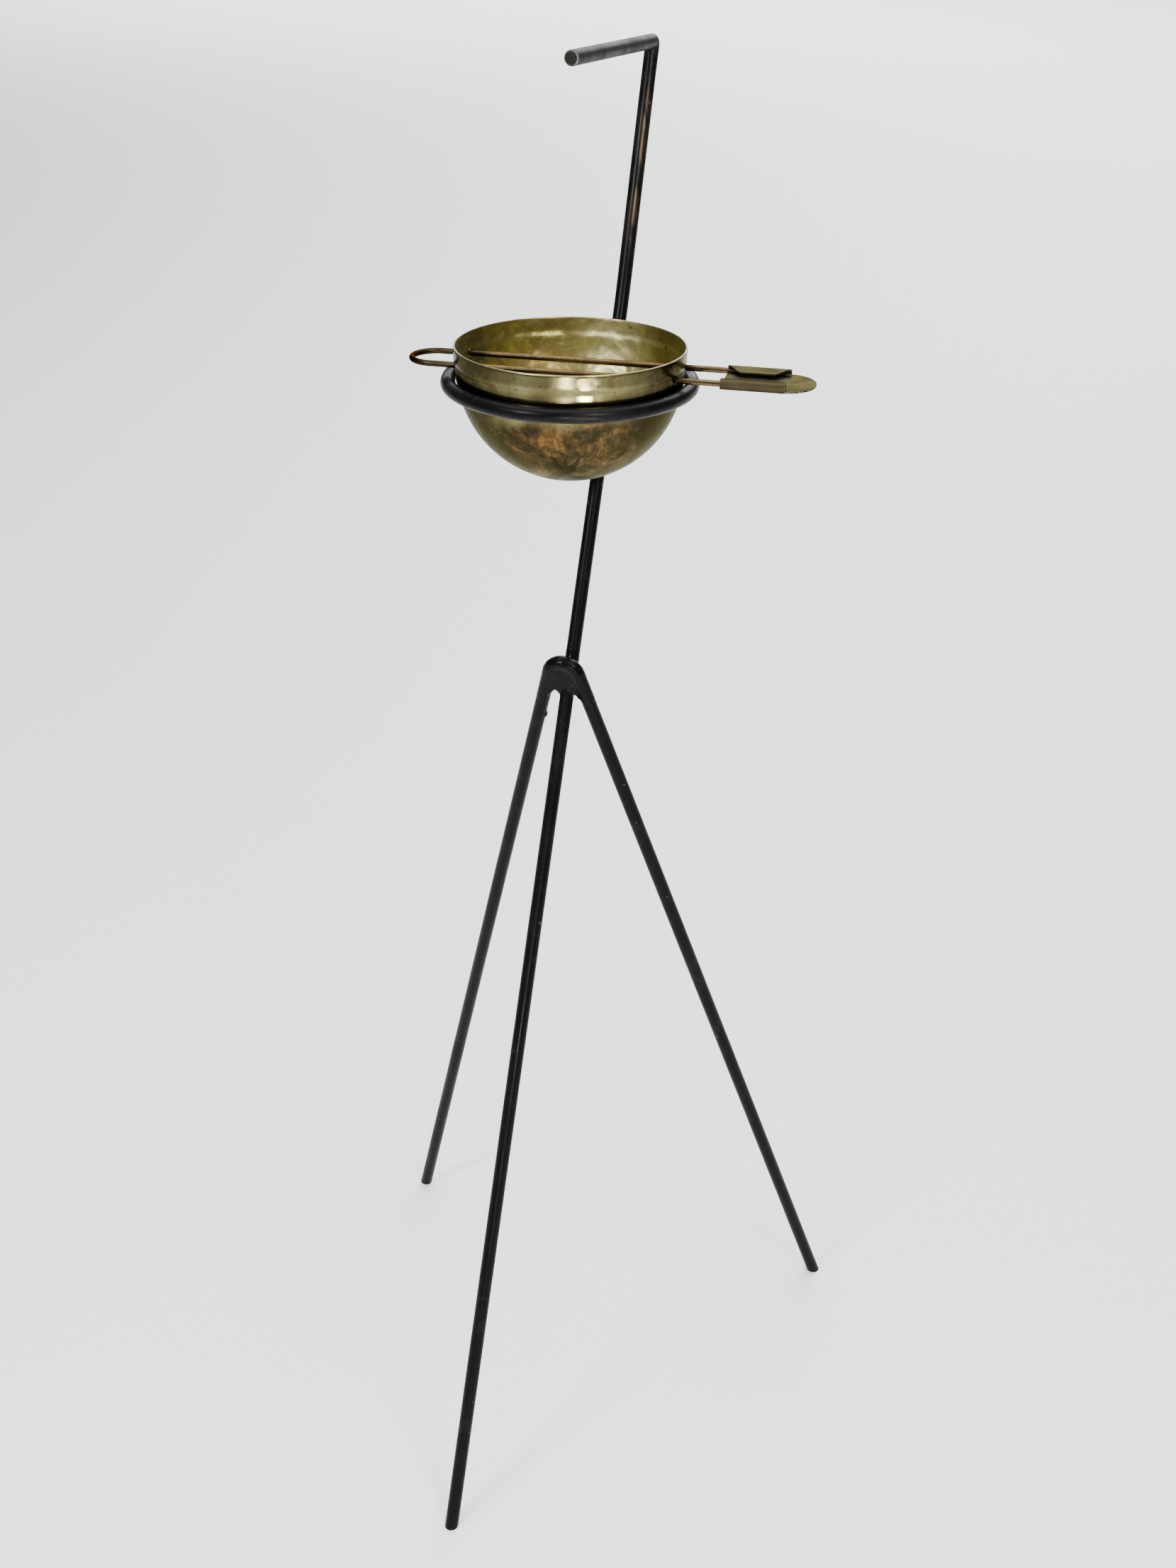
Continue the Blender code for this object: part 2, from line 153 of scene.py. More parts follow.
class ClipSettings(PropertyGroup):
    sheet: length("Sheet", "Thickness of the sheet", 0.0010)
    start: length("Start", "Along the wire, where the clip begins", 0.0815)
    end: length("End", "Along the wire, where its rolled edges end", 0.1148)
    tongue: length("Tongue", "Radius of the round tongue", 0.0150)
    bore: length("Bore", "Radius inside the rolled edges", 0.0019)
    drop: length("Drop", "Plate's depth below the wires", 0.0012)
    tilt: angle("Tilt", "Plate's tilt along its width", 2.2)
    flap: length("Flap", "Depth of the flap over the plate", 0.0088)
    brass: colour("Sheet brass", "Dull brass of the clip", (0.098, 0.094, 0.066))
    brass_dark: colour("Sheet tarnish", "Tarnish on the clip", (0.034, 0.031, 0.019))
    copper: colour("Rubbed copper", "Coppery tone of the rolled edges", (0.036, 0.028, 0.013))
    edge: colour("Cut edge", "Bright cut edge of the sheet", (0.21, 0.18, 0.10))


def power(name, description, default):
    return FloatProperty(name=name, description=description, default=default, min=0.0, max=5000.0, unit="POWER")


class StageSettings(PropertyGroup):
    floor: colour("Floor", "Plain pale floor", (0.83, 0.83, 0.83))
    sky: colour("Surround", "Soft light from all round", (0.97, 0.98, 1.0))
    sky_strength: FloatProperty(name="Surround strength", description="Strength of the soft surround",
                                default=0.22, min=0.0, max=20.0)
    ceiling_power: power("Ceiling", "Large softbox overhead, in watts", 430.0)
    far_power: power("Far ceiling", "Large softbox over the far floor, in watts", 920.0)
    left_power: power("Left lamp", "Soft lamp in front on the left, in watts", 26.0)
    right_power: power("Right lamp", "Soft lamp in front on the right, in watts", 22.0)
    low_power: power("Low lamp", "Small lamp low in front, which gives the bright glints, in watts", 7.0)
    spark_power: power("Spark", "Narrow beam that gives the collar's bright spot, in watts", 0.08)
    lens: FloatProperty(name="Lens", description="Focal length in millimetres, on a 36 mm wide sensor",
                        default=45.65, min=10.0, max=200.0)


# ---------------------------------------------------------------- mesh helpers

def make_object(bm, name):
    """Move a bmesh into a new object of the scene."""
    mesh = bpy.data.meshes.new(name)
    bm.to_mesh(mesh)
    bm.free()
    obj = bpy.data.objects.new(name, mesh)
    bpy.context.scene.collection.objects.link(obj)
    return obj


def finish_piece(bm, name, materials, body, node, sharp=35.0):
    """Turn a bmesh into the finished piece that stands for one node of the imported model."""
    bmesh.ops.recalc_face_normals(bm, faces=bm.faces)
    obj = make_object(bm, name)
    obj.data.shade_smooth()
    obj.data.set_sharp_from_angle(angle=math.radians(sharp))
    for material in materials:
        obj.data.materials.append(material)
    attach(obj, body)
    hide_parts(node)
    return obj


def placing(centre, side, up):
    """A matrix that puts a unit circle at a centre, with the two given half-axes."""
    place = Matrix((side, up, side.cross(up).normalized())).transposed().to_4x4()
    place.translation = centre
    return place


def square_cut(centre, way, side, radius):
    """A round cross-section square to the direction that the bar runs in."""
    side = side.normalized()
    return placing(centre, side * radius, way.cross(side).normalized() * radius)


def pushed(bm, edges):
    """Extrude a row of edges on the spot, and give back the new row and its corners."""
    made = bmesh.ops.extrude_edge_only(bm, edges=edges)["geom"]
    corners = {item for item in made if isinstance(item, bmesh.types.BMVert)}
    row = [item for item in made if isinstance(item, bmesh.types.BMEdge) and corners.issuperset(item.verts)]
    return row, list(corners)


def swept(placings, sides):
    """Extrude a circle from one placing to the next, and close the two ends."""
    bm = bmesh.new()
    bmesh.ops.create_circle(bm, segments=sides, radius=1.0, cap_ends=True, matrix=placings[0])
    rim = bm.edges[:]
    for before, after in zip(placings, placings[1:]):
        rim, corners = pushed(bm, rim)
        bmesh.ops.transform(bm, matrix=after @ before.inverted(), verts=corners)
    bmesh.ops.contextual_create(bm, geom=rim)
    return bm


def hand_drawn(distance, seed, amount=0.014):
    """How much thinner the bar is at a distance along it: never thicker than its size."""
    long_wave = noise.noise(Vector((distance * 28.0, seed, 0.0)))
    short_wave = noise.noise(Vector((distance * 90.0, seed, 7.0)))
    wave = long_wave + 0.5 * short_wave
    return 1.0 - amount * min(1.0, max(0.0, 0.5 + 0.6 * wave))


def straight_run(start, end, side, radius, seed, pitch=5.0 * MM):
    """Square cross-sections from start to end, with the slight waviness of a painted bar."""
    way = (end - start).normalized()
    steps = max(2, round((end - start).length / pitch))
    made = []
    for step in range(steps + 1):
        point = start.lerp(end, step / steps)
        made.append(square_cut(point, way, side, radius * hand_drawn(point.z + 0.37 * point.y, seed)))
    return made


def foot_cut(foot, way, side, radius, broken):
    """The lower end of a leaning bar, level with the floor, its edge rounded."""
    up = way.cross(side.normalized())
    made = []
    for step in range(6):
        turn = math.pi / 2 * step / 5
        height = broken * (1.0 - math.cos(turn))
        reach = radius - broken * (1.0 - math.sin(turn))
        level = [(axis - way * (axis.z / way.z)) * reach for axis in (side.normalized(), up)]
        made.append(placing(foot + way * (height / way.z), *level))
    return made


def round_end(end, way, side, radius, broken):
    """Cross-sections that round off a square-cut end, from the bar's side to its face."""
    made = []
    for step in range(6):
        turn = math.pi / 2 * step / 5
        made.append(square_cut(end - way * (broken * (1.0 - math.sin(turn))), way, side,
                               radius - broken * (1.0 - math.cos(turn))))
    return made


def smooth(bm, passes):
    for _ in range(passes):
        bmesh.ops.smooth_vert(bm, verts=bm.verts, factor=0.5, use_axis_x=True, use_axis_y=True, use_axis_z=True)


def merged_skin(bm, voxel, passes, name):
    """Melt touching shapes into one skin with soft fillets where they meet."""
    obj = make_object(bm, name)
    melt = obj.modifiers.new("melt", "REMESH")
    melt.mode = "VOXEL"
    melt.voxel_size = voxel
    skin = bmesh.new()
    skin.from_mesh(obj.evaluated_get(bpy.context.evaluated_depsgraph_get()).to_mesh())
    bpy.data.meshes.remove(obj.data)
    smooth(skin, passes)
    return skin


def join(bm, other):
    """Move another bmesh into this one."""
    mesh = bpy.data.meshes.new("join")
    other.to_mesh(mesh)
    other.free()
    bm.from_mesh(mesh)
    bpy.data.meshes.remove(mesh)


# ---------------------------------------------------------------- the stand's lines

def yz(y, z):
    return Vector((0.0, y, z))


class StandLines:
    """The stand's directions and corners, in its own frame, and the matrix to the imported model's."""

    def __init__(self, s):
        self.leg_way = yz(math.sin(s.leg_lean), math.cos(s.leg_lean))
        self.post_way = yz(math.sin(s.post_lean), math.cos(s.post_lean))
        self.handle_way = yz(-math.cos(s.handle_rise), math.sin(s.handle_rise))
        self.foot = yz(-s.foot_to_post, 0.0)
        self.kink = self.foot + self.leg_way * (s.kink_height / self.leg_way.z)
        self.corner = self.kink + self.post_way * ((s.corner_height - s.kink_height) / self.post_way.z)
        leg_at_ring = self.foot + self.leg_way * (RING_CENTRE.z / self.leg_way.z)
        ring_y = leg_at_ring.y - (2.0 * s.bar_radius + 0.3 * MM) / math.cos(s.leg_lean) - RING_RADIUS
        self.place = Matrix.Translation((POST_X, RING_CENTRE.y - ring_y, 0.0))
        self.ring_seat = yz(ring_y + RING_RADIUS + s.bar_radius, RING_CENTRE.z)
        self.ring_centre = Vector((RING_CENTRE.x - POST_X, ring_y, RING_CENTRE.z))
        self.hairpin_up = yz(-math.sin(s.hairpin_lean), math.cos(s.hairpin_lean))
        self.hairpin_back = self.hairpin_up.cross(X)
        apex = s.rear_foot_x / math.tan(s.hairpin_spread)
        to_bend = apex - s.hairpin_bend / math.sin(s.hairpin_spread)
        self.bend = yz(s.rear_foot_y, 0.0) + self.hairpin_up * to_bend
        self.skew = Matrix.Rotation(s.hairpin_skew, 4, "Z")


def corner_placings(s, lines):
    """The forged corner under the hand: sharp inside, with a small round outside."""
    turn = lines.post_way.angle(lines.handle_way)
    half_angle = (math.pi - turn) / 2.0
    bar = 2.0 * s.bar_radius
    inner = 0.3 * MM
    to_inside = (lines.handle_way - lines.post_way).normalized()
    pivot = lines.corner + to_inside * (s.bar_radius / math.sin(half_angle))
    arc_offset = (bar - s.corner_outer) / math.sin(half_angle)
    arc_starts = math.atan2(arc_offset * math.cos(half_angle), bar)
    outward = lines.post_way.cross(X)
    made = []
    steps = 28
    for step in range(steps + 1):
        at = turn * step / steps
        from_middle = at - turn / 2.0
        if abs(from_middle) > turn / 2.0 - arc_starts:
            reach = bar / math.cos(min(at, turn - at))
        else:
            drop = arc_offset * math.sin(from_middle)
            reach = arc_offset * math.cos(from_middle) + math.sqrt(s.corner_outer ** 2 - drop ** 2)
        ray = outward * math.cos(at) + lines.post_way * math.sin(at)
        made.append(placing(pivot + ray * (reach + inner) / 2.0, X * s.bar_radius, ray * (reach - inner) / 2.0))
    return made


def post_mesh(s, lines):
    """The whole post bar: foot, leg, slight kink, post, corner and handle."""
    radius = s.bar_radius
    before_kink = lines.kink - lines.leg_way * 14.0 * MM
    after_kink = lines.kink + lines.post_way * 14.0 * MM
    made = foot_cut(lines.foot, lines.leg_way, X, radius, s.end_round)
    made += straight_run(lines.foot + lines.leg_way * 9.0 * MM, before_kink, X, radius, 1.0)
    for step in range(1, 8):
        t = step / 8.0
        centre = before_kink.lerp(lines.kink, t).lerp(lines.kink.lerp(after_kink, t), t)
        thin = hand_drawn(centre.z + 0.37 * centre.y, 1.0)
        made.append(square_cut(centre, lines.leg_way.lerp(lines.post_way, t).normalized(), X, radius * thin))
    made += straight_run(after_kink, lines.corner - lines.post_way * 13.0 * MM, X, radius, 1.0)
    made += corner_placings(s, lines)
    end = lines.corner + lines.handle_way * s.handle_length
    made += straight_run(lines.corner + lines.handle_way * 13.0 * MM, end - lines.handle_way * 2.0 * MM,
                         X, radius, 2.0)
    made += round_end(end, lines.handle_way, X, radius, s.end_round)
    bm = swept(made, 40)
    bmesh.ops.transform(bm, matrix=lines.place, verts=bm.verts)
    return bm


def hairpin_placings(s, lines, radius, legs=None):
    """Right leg, narrow bend and left leg; whole legs, or only a short stretch of each."""
    made = []
    runs = []
    for side in (1, -1):
        way = lines.hairpin_up * math.cos(s.hairpin_spread) - X * (side * math.sin(s.hairpin_spread))
        across = lines.hairpin_up * math.sin(s.hairpin_spread) + X * (side * math.cos(s.hairpin_spread))
        foot = Vector((side * s.rear_foot_x, s.rear_foot_y, 0.0))
        top = lines.bend + across * s.hairpin_bend
        if legs:
            run = straight_run(top - way * legs, top, across, radius, 3.0 + side, 2.0 * MM)
        else:
            run = foot_cut(foot, way, across, radius, s.end_round)
            run += straight_run(foot + way * 9.0 * MM, top, across, radius, 3.0 + side)
        if side < 0:
            run = [place @ Matrix.Diagonal((1.0, -1.0, -1.0, 1.0)) for place in reversed(run)]
        runs.append(run[:-1] if side > 0 else run[1:])
    made += runs[0]
    bend_start = math.pi / 2.0 - s.hairpin_spread
    steps = 36
    for step in range(steps + 1):
        at = bend_start * (1.0 - 2.0 * step / steps)
        spoke = X * math.sin(at) + lines.hairpin_up * math.cos(at)
        way = lines.hairpin_up * math.sin(at) - X * math.cos(at)
        made.append(square_cut(lines.bend + spoke * s.hairpin_bend, way, spoke, radius * 0.994))
    return made + runs[1]


def hairpin_mesh(s, lines):
    bm = swept(hairpin_placings(s, lines, s.bar_radius), 40)
    bmesh.ops.transform(bm, matrix=lines.place @ lines.skew, verts=bm.verts)
    return bm


def lump(bm, centre, axes, turn=Matrix.Identity(4)):
    """A drop of filler: a sphere stretched to the given half-axes."""
    size = Matrix.Diagonal((*axes, 1.0))
    bmesh.ops.create_uvsphere(bm, u_segments=24, v_segments=16, radius=1.0,
                              matrix=Matrix.Translation(centre) @ turn @ size)


# The lower edge of the filler from right to left, in millimetres from the middle of the hairpin's bend.
WELD_EDGE = ((8.8, -13.5), (6.6, -10.2), (5.0, -12.5), (-2.0, -12.5), (-5.0, -8.6), (-8.8, -13.0))
# Drops of filler at the ring: place from the seat, then half-axes, in millimetres.
RING_DROPS = (((0.0, 0.2, 0.4), (5.6, 3.4, 4.6)), ((3.4, 0.2, -0.3), (3.0, 2.6, 3.1)),
              ((-3.5, 0.2, 0.2), (3.1, 2.6, 3.3)))


def joint_skin(placings, joint, reach, fade):
    """Make bars a little thicker near a joint, and let them sink into the bars they cover further off."""
    made = []
    for place in placings:
        away = (place.translation - joint).length - reach
        grow = 1.05 - 0.10 * min(1.0, max(0.0, away / fade))
        made.append(place @ Matrix.Diagonal((grow, grow, 1.0, 1.0)))
    return made


def leg_weld_mesh(s, lines):
    """Filler that closes the top of the hairpin round the post, with fillets on every bar."""
    bm = bmesh.new()
    hairpin = hairpin_placings(s, lines, s.bar_radius, legs=42.0 * MM)
    join(bm, swept(joint_skin(hairpin, lines.bend, 20.0 * MM, 16.0 * MM), 32))

    inner = s.hairpin_bend
    bend_start = math.pi / 2.0 - s.hairpin_spread
    slope = math.tan(s.hairpin_spread)
    drop = 15.0 * MM
    leg_x = (inner / math.sin(s.hairpin_spread) + drop) * slope
    outline = [(inner * math.sin(at), inner * math.cos(at))
               for at in (bend_start * (step / 8.0 - 1.0) for step in range(17))]
    outline += [(leg_x, -drop), *((x * MM, up * MM) for x, up in WELD_EDGE), (-leg_x, -drop)]
    filler = bmesh.new()
    front = lines.bend - lines.hairpin_back * 3.5 * MM
    face = filler.faces.new([filler.verts.new(front + X * x + lines.hairpin_up * up) for x, up in outline])
    moved = bmesh.ops.extrude_face_region(filler, geom=[face])["geom"]
    corners = [item for item in moved if isinstance(item, bmesh.types.BMVert)]
    bmesh.ops.translate(filler, vec=lines.hairpin_back * 8.0 * MM, verts=corners)
    bmesh.ops.recalc_face_normals(filler, faces=filler.faces)
    join(bm, filler)
    left_way = lines.hairpin_up * math.cos(s.hairpin_spread) + X * math.sin(s.hairpin_spread)
    left_in = X * math.cos(s.hairpin_spread) - lines.hairpin_up * math.sin(s.hairpin_spread)
    drip = lines.bend - left_in * (s.hairpin_bend - s.bar_radius) - left_way * 32.7 * MM
    lump(bm, drip, (1.0 * MM, 1.4 * MM, 2.4 * MM), Matrix.Rotation(s.hairpin_spread, 4, "Y"))
    bmesh.ops.transform(bm, matrix=lines.skew, verts=bm.verts)

    middle = lines.kink + lines.leg_way * ((lines.bend.z - lines.kink.z) / lines.leg_way.z)
    post = [square_cut(middle + lines.leg_way * (offset * MM), lines.leg_way, X, s.bar_radius)
            for offset in range(-34, 31, 4)]
    join(bm, swept(joint_skin(post, middle, 8.0 * MM, 12.0 * MM), 32))
    bm = merged_skin(bm, 0.45 * MM, 5, "leg_weld_skin")
    for vert in bm.verts:
        bead = noise.noise(vert.co * 420.0) + 0.5 * noise.noise(vert.co * 900.0)
        vert.co += vert.normal * (0.16 * MM * bead)
    smooth(bm, 7)
    bmesh.ops.transform(bm, matrix=lines.place, verts=bm.verts)
    return bm


def ring_mesh(s, lines):
    """A closed ring of round bar, with slight hand-bent waviness."""
    bm = bmesh.new()
    start = square_cut(lines.ring_centre + X * RING_RADIUS, Y, X, s.bar_radius)
    bmesh.ops.create_circle(bm, segments=40, radius=1.0, cap_ends=False, matrix=start)
    bmesh.ops.spin(bm, geom=bm.verts[:] + bm.edges[:], cent=lines.ring_centre, axis=Z, dvec=(0, 0, 0),
                   angle=math.tau, steps=240, use_merge=True, use_duplicate=False)
    bmesh.ops.remove_doubles(bm, verts=bm.verts, dist=0.001 * MM)
    for vert in bm.verts:
        spoke = vert.co - lines.ring_centre
        spoke.z = 0.0
        spoke.normalize()
        middle = lines.ring_centre + spoke * RING_RADIUS
        wave = 0.5 + 0.7 * noise.noise(spoke * 3.1)
        vert.co = middle + (vert.co - middle) * (1.0 - 0.02 * min(1.0, max(0.0, wave)))
    bmesh.ops.transform(bm, matrix=lines.place, verts=bm.verts)
    return bm


def ring_weld_mesh(s, lines):
    """A bead of filler where the back of the ring meets the post."""
    thin = s.bar_radius - 0.10 * MM
    bm = bmesh.new()
    arc = []
    for step in range(-12, 13):
        spoke = Matrix.Rotation(step * 0.022, 3, "Z") @ Y
        arc.append(square_cut(lines.ring_centre + spoke * RING_RADIUS, -spoke.cross(Z), spoke, thin))
    join(bm, swept(arc, 32))
    leg = lines.foot + lines.leg_way * (RING_CENTRE.z / lines.leg_way.z)
    join(bm, swept([square_cut(leg + lines.leg_way * (offset * MM), lines.leg_way, X, thin)
                    for offset in range(-18, 19, 3)], 32))
    for place, axes in RING_DROPS:
        lump(bm, lines.ring_seat + Vector(place) * MM, [axis * MM for axis in axes])
    bm = merged_skin(bm, 0.4 * MM, 4, "ring_weld_skin")
    for vert in bm.verts:
        vert.co += vert.normal * (0.14 * MM * noise.noise(vert.co * 520.0))
    smooth(bm, 5)
    bmesh.ops.transform(bm, matrix=lines.place, verts=bm.verts)
    return bm


# ---------------------------------------------------------------- the bowl, wire and clip

def wire_matrix(w):
    """The frame of the sliding set: x along the wire, at the wires' height."""
    return Matrix.Translation(BOWL_CENTRE - Z * w.below) @ Matrix.Rotation(w.turn, 4, "Z")


def turned(bm, corner, centre, axis, sweep, steps):
    """Spin one corner of a profile, and give back the corner where it stops."""
    made = bmesh.ops.spin(bm, geom=[corner], cent=centre, axis=axis, dvec=(0, 0, 0), angle=sweep,
                          steps=steps, use_merge=False, use_duplicate=False)["geom_last"]
    return next(item for item in made if isinstance(item, bmesh.types.BMVert))


def drawn(bm, corner, height, steps):
    """Extrude one corner of a profile straight up or down."""
    for _ in range(steps):
        made = bmesh.ops.extrude_vert_indiv(bm, verts=[corner])
        corner = made["verts"][0]
        bmesh.ops.translate(bm, vec=Z * (height / steps), verts=[corner])
    return corner


def bowl_mesh(b):
    """A half sphere with a straight collar and a rounded rim, turned as one wall."""
    bm = bmesh.new()
    collar = BOWL_HIGH.z - BOWL_CENTRE.z - b.wall / 2.0
    flare_height = 3.2 * MM
    corner = bm.verts.new(BOWL_CENTRE - Z * BOWL_RADIUS)
    corner = turned(bm, corner, BOWL_CENTRE, -Y, math.pi / 2.0, 56)
    corner = drawn(bm, corner, collar, 9)
    corner = turned(bm, corner, corner.co - X * (b.wall / 2.0), -Y, math.pi, 8)
    corner = drawn(bm, corner, -collar, 9)
    turned(bm, corner, BOWL_CENTRE, Y, math.pi / 2.0, 56)
    bmesh.ops.spin(bm, geom=bm.verts[:] + bm.edges[:], cent=BOWL_CENTRE, axis=Z, dvec=(0, 0, 0),
                   angle=math.tau, steps=224, use_merge=True, use_duplicate=False)
    bmesh.ops.remove_doubles(bm, verts=bm.verts, dist=0.002 * MM)
    for vert in bm.verts:
        spoke = vert.co - BOWL_CENTRE
        depth = max(0.0, 0.5 + 0.7 * noise.noise(spoke * 34.0))
        vert.co -= spoke.normalized() * (0.20 * MM * depth)
        if spoke.z > 0.0:
            rise = min(1.0, spoke.z / flare_height)
            flare = COLLAR_FLARE * (0.72 * rise * rise * (3.0 - 2.0 * rise) + 0.28 * spoke.z / collar)
            outwards = Vector((spoke.x, spoke.y, 0.0)).normalized()
            vert.co += outwards * (min(flare, COLLAR_FLARE))
    return bm


def drill_holes(bm, w, b):
    """Cut the four holes for the wire, a little longer than they are high."""
    bmesh.ops.recalc_face_normals(bm, faces=bm.faces)
    bowl = make_object(bm, "undrilled")
    drills = []
    for side in (-1, 1):
        tool = bmesh.new()
        place = wire_matrix(w) @ Matrix.Translation((0.0, side * w.half_spacing, 0.0))
        place = place @ Matrix.Rotation(math.pi / 2.0, 4, "Y") @ Matrix.Diagonal((1.0, 1.22, 1.0, 1.0))
        bmesh.ops.create_cone(tool, cap_ends=True, segments=40, radius1=b.hole_radius, radius2=b.hole_radius,
                              depth=3.0 * BOWL_RADIUS, matrix=place)
        drills.append(make_object(tool, "drill"))
        cut = bowl.modifiers.new("cut", "BOOLEAN")
        cut.operation = "DIFFERENCE"
        cut.solver = "EXACT"
        cut.object = drills[-1]
    drilled = bmesh.new()
    drilled.from_mesh(bowl.evaluated_get(bpy.context.evaluated_depsgraph_get()).to_mesh())
    for obj in [bowl] + drills:
        bpy.data.objects.remove(obj)
    return drilled


def paint_bowl_faces(bm, b):
    """Give the outside, the inside and the rim their own material slots."""
    between = BOWL_RADIUS - b.wall / 2.0
    for face in bm.faces:
        middle = face.calc_center_median() - BOWL_CENTRE
        if middle.z > 0:
            inner = face.normal.dot(Vector((middle.x, middle.y, 0.0))) < 0
        else:
            inner = middle.length < between - 0.12 * MM
        face.material_index = 1 if inner else 0
        if middle.z > BOWL_HIGH.z - BOWL_CENTRE.z - 0.7 * MM:
            face.material_index = 2


def wire_mesh(w):
    """A wire bent to a long U: two level runs and a half-round loop."""
    start = w.half_spacing - w.loop_end
    made = straight_run(Vector((w.wire_end, -w.half_spacing, 0.0)), Vector((start, -w.half_spacing, 0.0)), Z,
                        w.radius, 11.0, 3.0 * MM)[:-1]
    steps = 48
    for step in range(steps + 1):
        at = -math.pi / 2.0 - math.pi * step / steps
        spoke = Vector((math.cos(at), math.sin(at), 0.0))
        heading = Vector((math.sin(at), -math.cos(at), 0.0))
        made.append(square_cut(X * start + spoke * w.half_spacing, heading, Z, w.radius * 0.992))
    made += straight_run(Vector((start, w.half_spacing, 0.0)), Vector((w.wire_end, w.half_spacing, 0.0)), Z,
                         w.radius, 12.0, 3.0 * MM)[1:]
    bm = swept(made, 24)
    bmesh.ops.transform(bm, matrix=wire_matrix(w), verts=bm.verts)
    return bm


def clip_path(w, c):
    """The sheet's middle line across the wires: y and z points from its free edge to the flap.

    It goes over and round the front wire, level across as the plate, under and round the back wire,
    and forwards over that wire as the flap."""
    eye = c.bore + c.sheet / 2.0
    front = yz(-w.half_spacing, 0.0)
    back = yz(w.half_spacing, 0.0)

    def on_eye(middle, degrees):
        at = math.radians(degrees)
        return middle + yz(eye * math.cos(at), eye * math.sin(at))

    def eased(start, end, steps):
        return [yz(start.y + (end.y - start.y) * t, start.z + (end.z - start.z) * t * t * (3.0 - 2.0 * t))
                for t in (step / steps for step in range(1, steps))]

    across = (-w.half_spacing + 3.6 * MM + (2.0 * w.half_spacing - 7.8 * MM) * step / 18 for step in range(19))
    plate = [yz(y, -c.drop + y * math.tan(c.tilt)) for y in across]
    path = [on_eye(front, -14.0 + 306.0 * step / 32) for step in range(33)]
    path += eased(path[-1], plate[0], 6) + plate
    path += eased(plate[-1], on_eye(back, 236.0), 6)
    path += [on_eye(back, 236.0 + 214.0 * step / 28) for step in range(29)]
    path += [back + yz(-c.flap * step / 10.0, eye + 0.012 * c.flap * step / 10.0) for step in range(1, 11)]
    return path


def clip_mesh(w, c):
    """One sheet, rolled shut round the front wire and over the back wire into a half-moon flap."""
    bm = bmesh.new()
    chain = [bm.verts.new((c.start, point.y, point.z)) for point in clip_path(w, c)]
    edges = [bm.edges.new(pair) for pair in zip(chain, chain[1:])]
    columns = 36
    for _ in range(columns):
        edges, fresh = pushed(bm, edges)
        bmesh.ops.translate(bm, vec=X * ((c.end - c.start) / columns), verts=fresh)

    eye = c.bore + c.sheet / 2.0
    middle = (c.start + c.end) / 2.0
    half_length = (c.end - c.start) / 2.0
    for vert in bm.verts:
        forward = w.half_spacing - vert.co.y
        if 0.01 * MM < forward < 1.1 * c.flap and vert.co.z > eye * 0.999:
            inward = min(1.0, (1.0 - abs(vert.co.x - middle) / half_length) / 0.5)
            bulge = inward * inward * (3.0 - 2.0 * inward)
            vert.co.y = w.half_spacing - forward * (0.9 * MM + (c.flap - 0.1 * MM) * bulge) / c.flap
            vert.co.z -= 0.7 * MM * (forward / c.flap) * bulge

    flat = w.half_spacing - 3.5 * MM
    edges = [edge for edge in edges
             if all(abs(v.co.y) < flat and abs(v.co.z + c.drop - v.co.y * math.tan(c.tilt)) < 0.01 * MM
                    for v in edge.verts)]
    ends = [vert.co.y for edge in edges for vert in edge.verts]
    at, half = (min(ends) + max(ends)) / 2.0, (max(ends) - min(ends)) / 2.0
    rings = 16
    for ring in range(1, rings + 1):
        lean = math.radians(2.5) + math.radians(87.5) * ((ring - 1) / (rings - 1)) ** 0.9
        wide = max(c.tongue * math.cos(lean), 0.02 * MM)
        edges, fresh = pushed(bm, edges)
        for vert in fresh:
            vert.co.y = (vert.co.y - at) * wide / half
            vert.co.x = c.end - c.sheet / 2.0 + c.tongue * math.sin(lean)
            vert.co.z = -c.drop + vert.co.y * math.tan(c.tilt)
        at, half = 0.0, wide
    bmesh.ops.remove_doubles(bm, verts=bm.verts, dist=0.01 * MM)
    bmesh.ops.transform(bm, matrix=wire_matrix(w), verts=bm.verts)
    return bm


# ---------------------------------------------------------------- node helpers

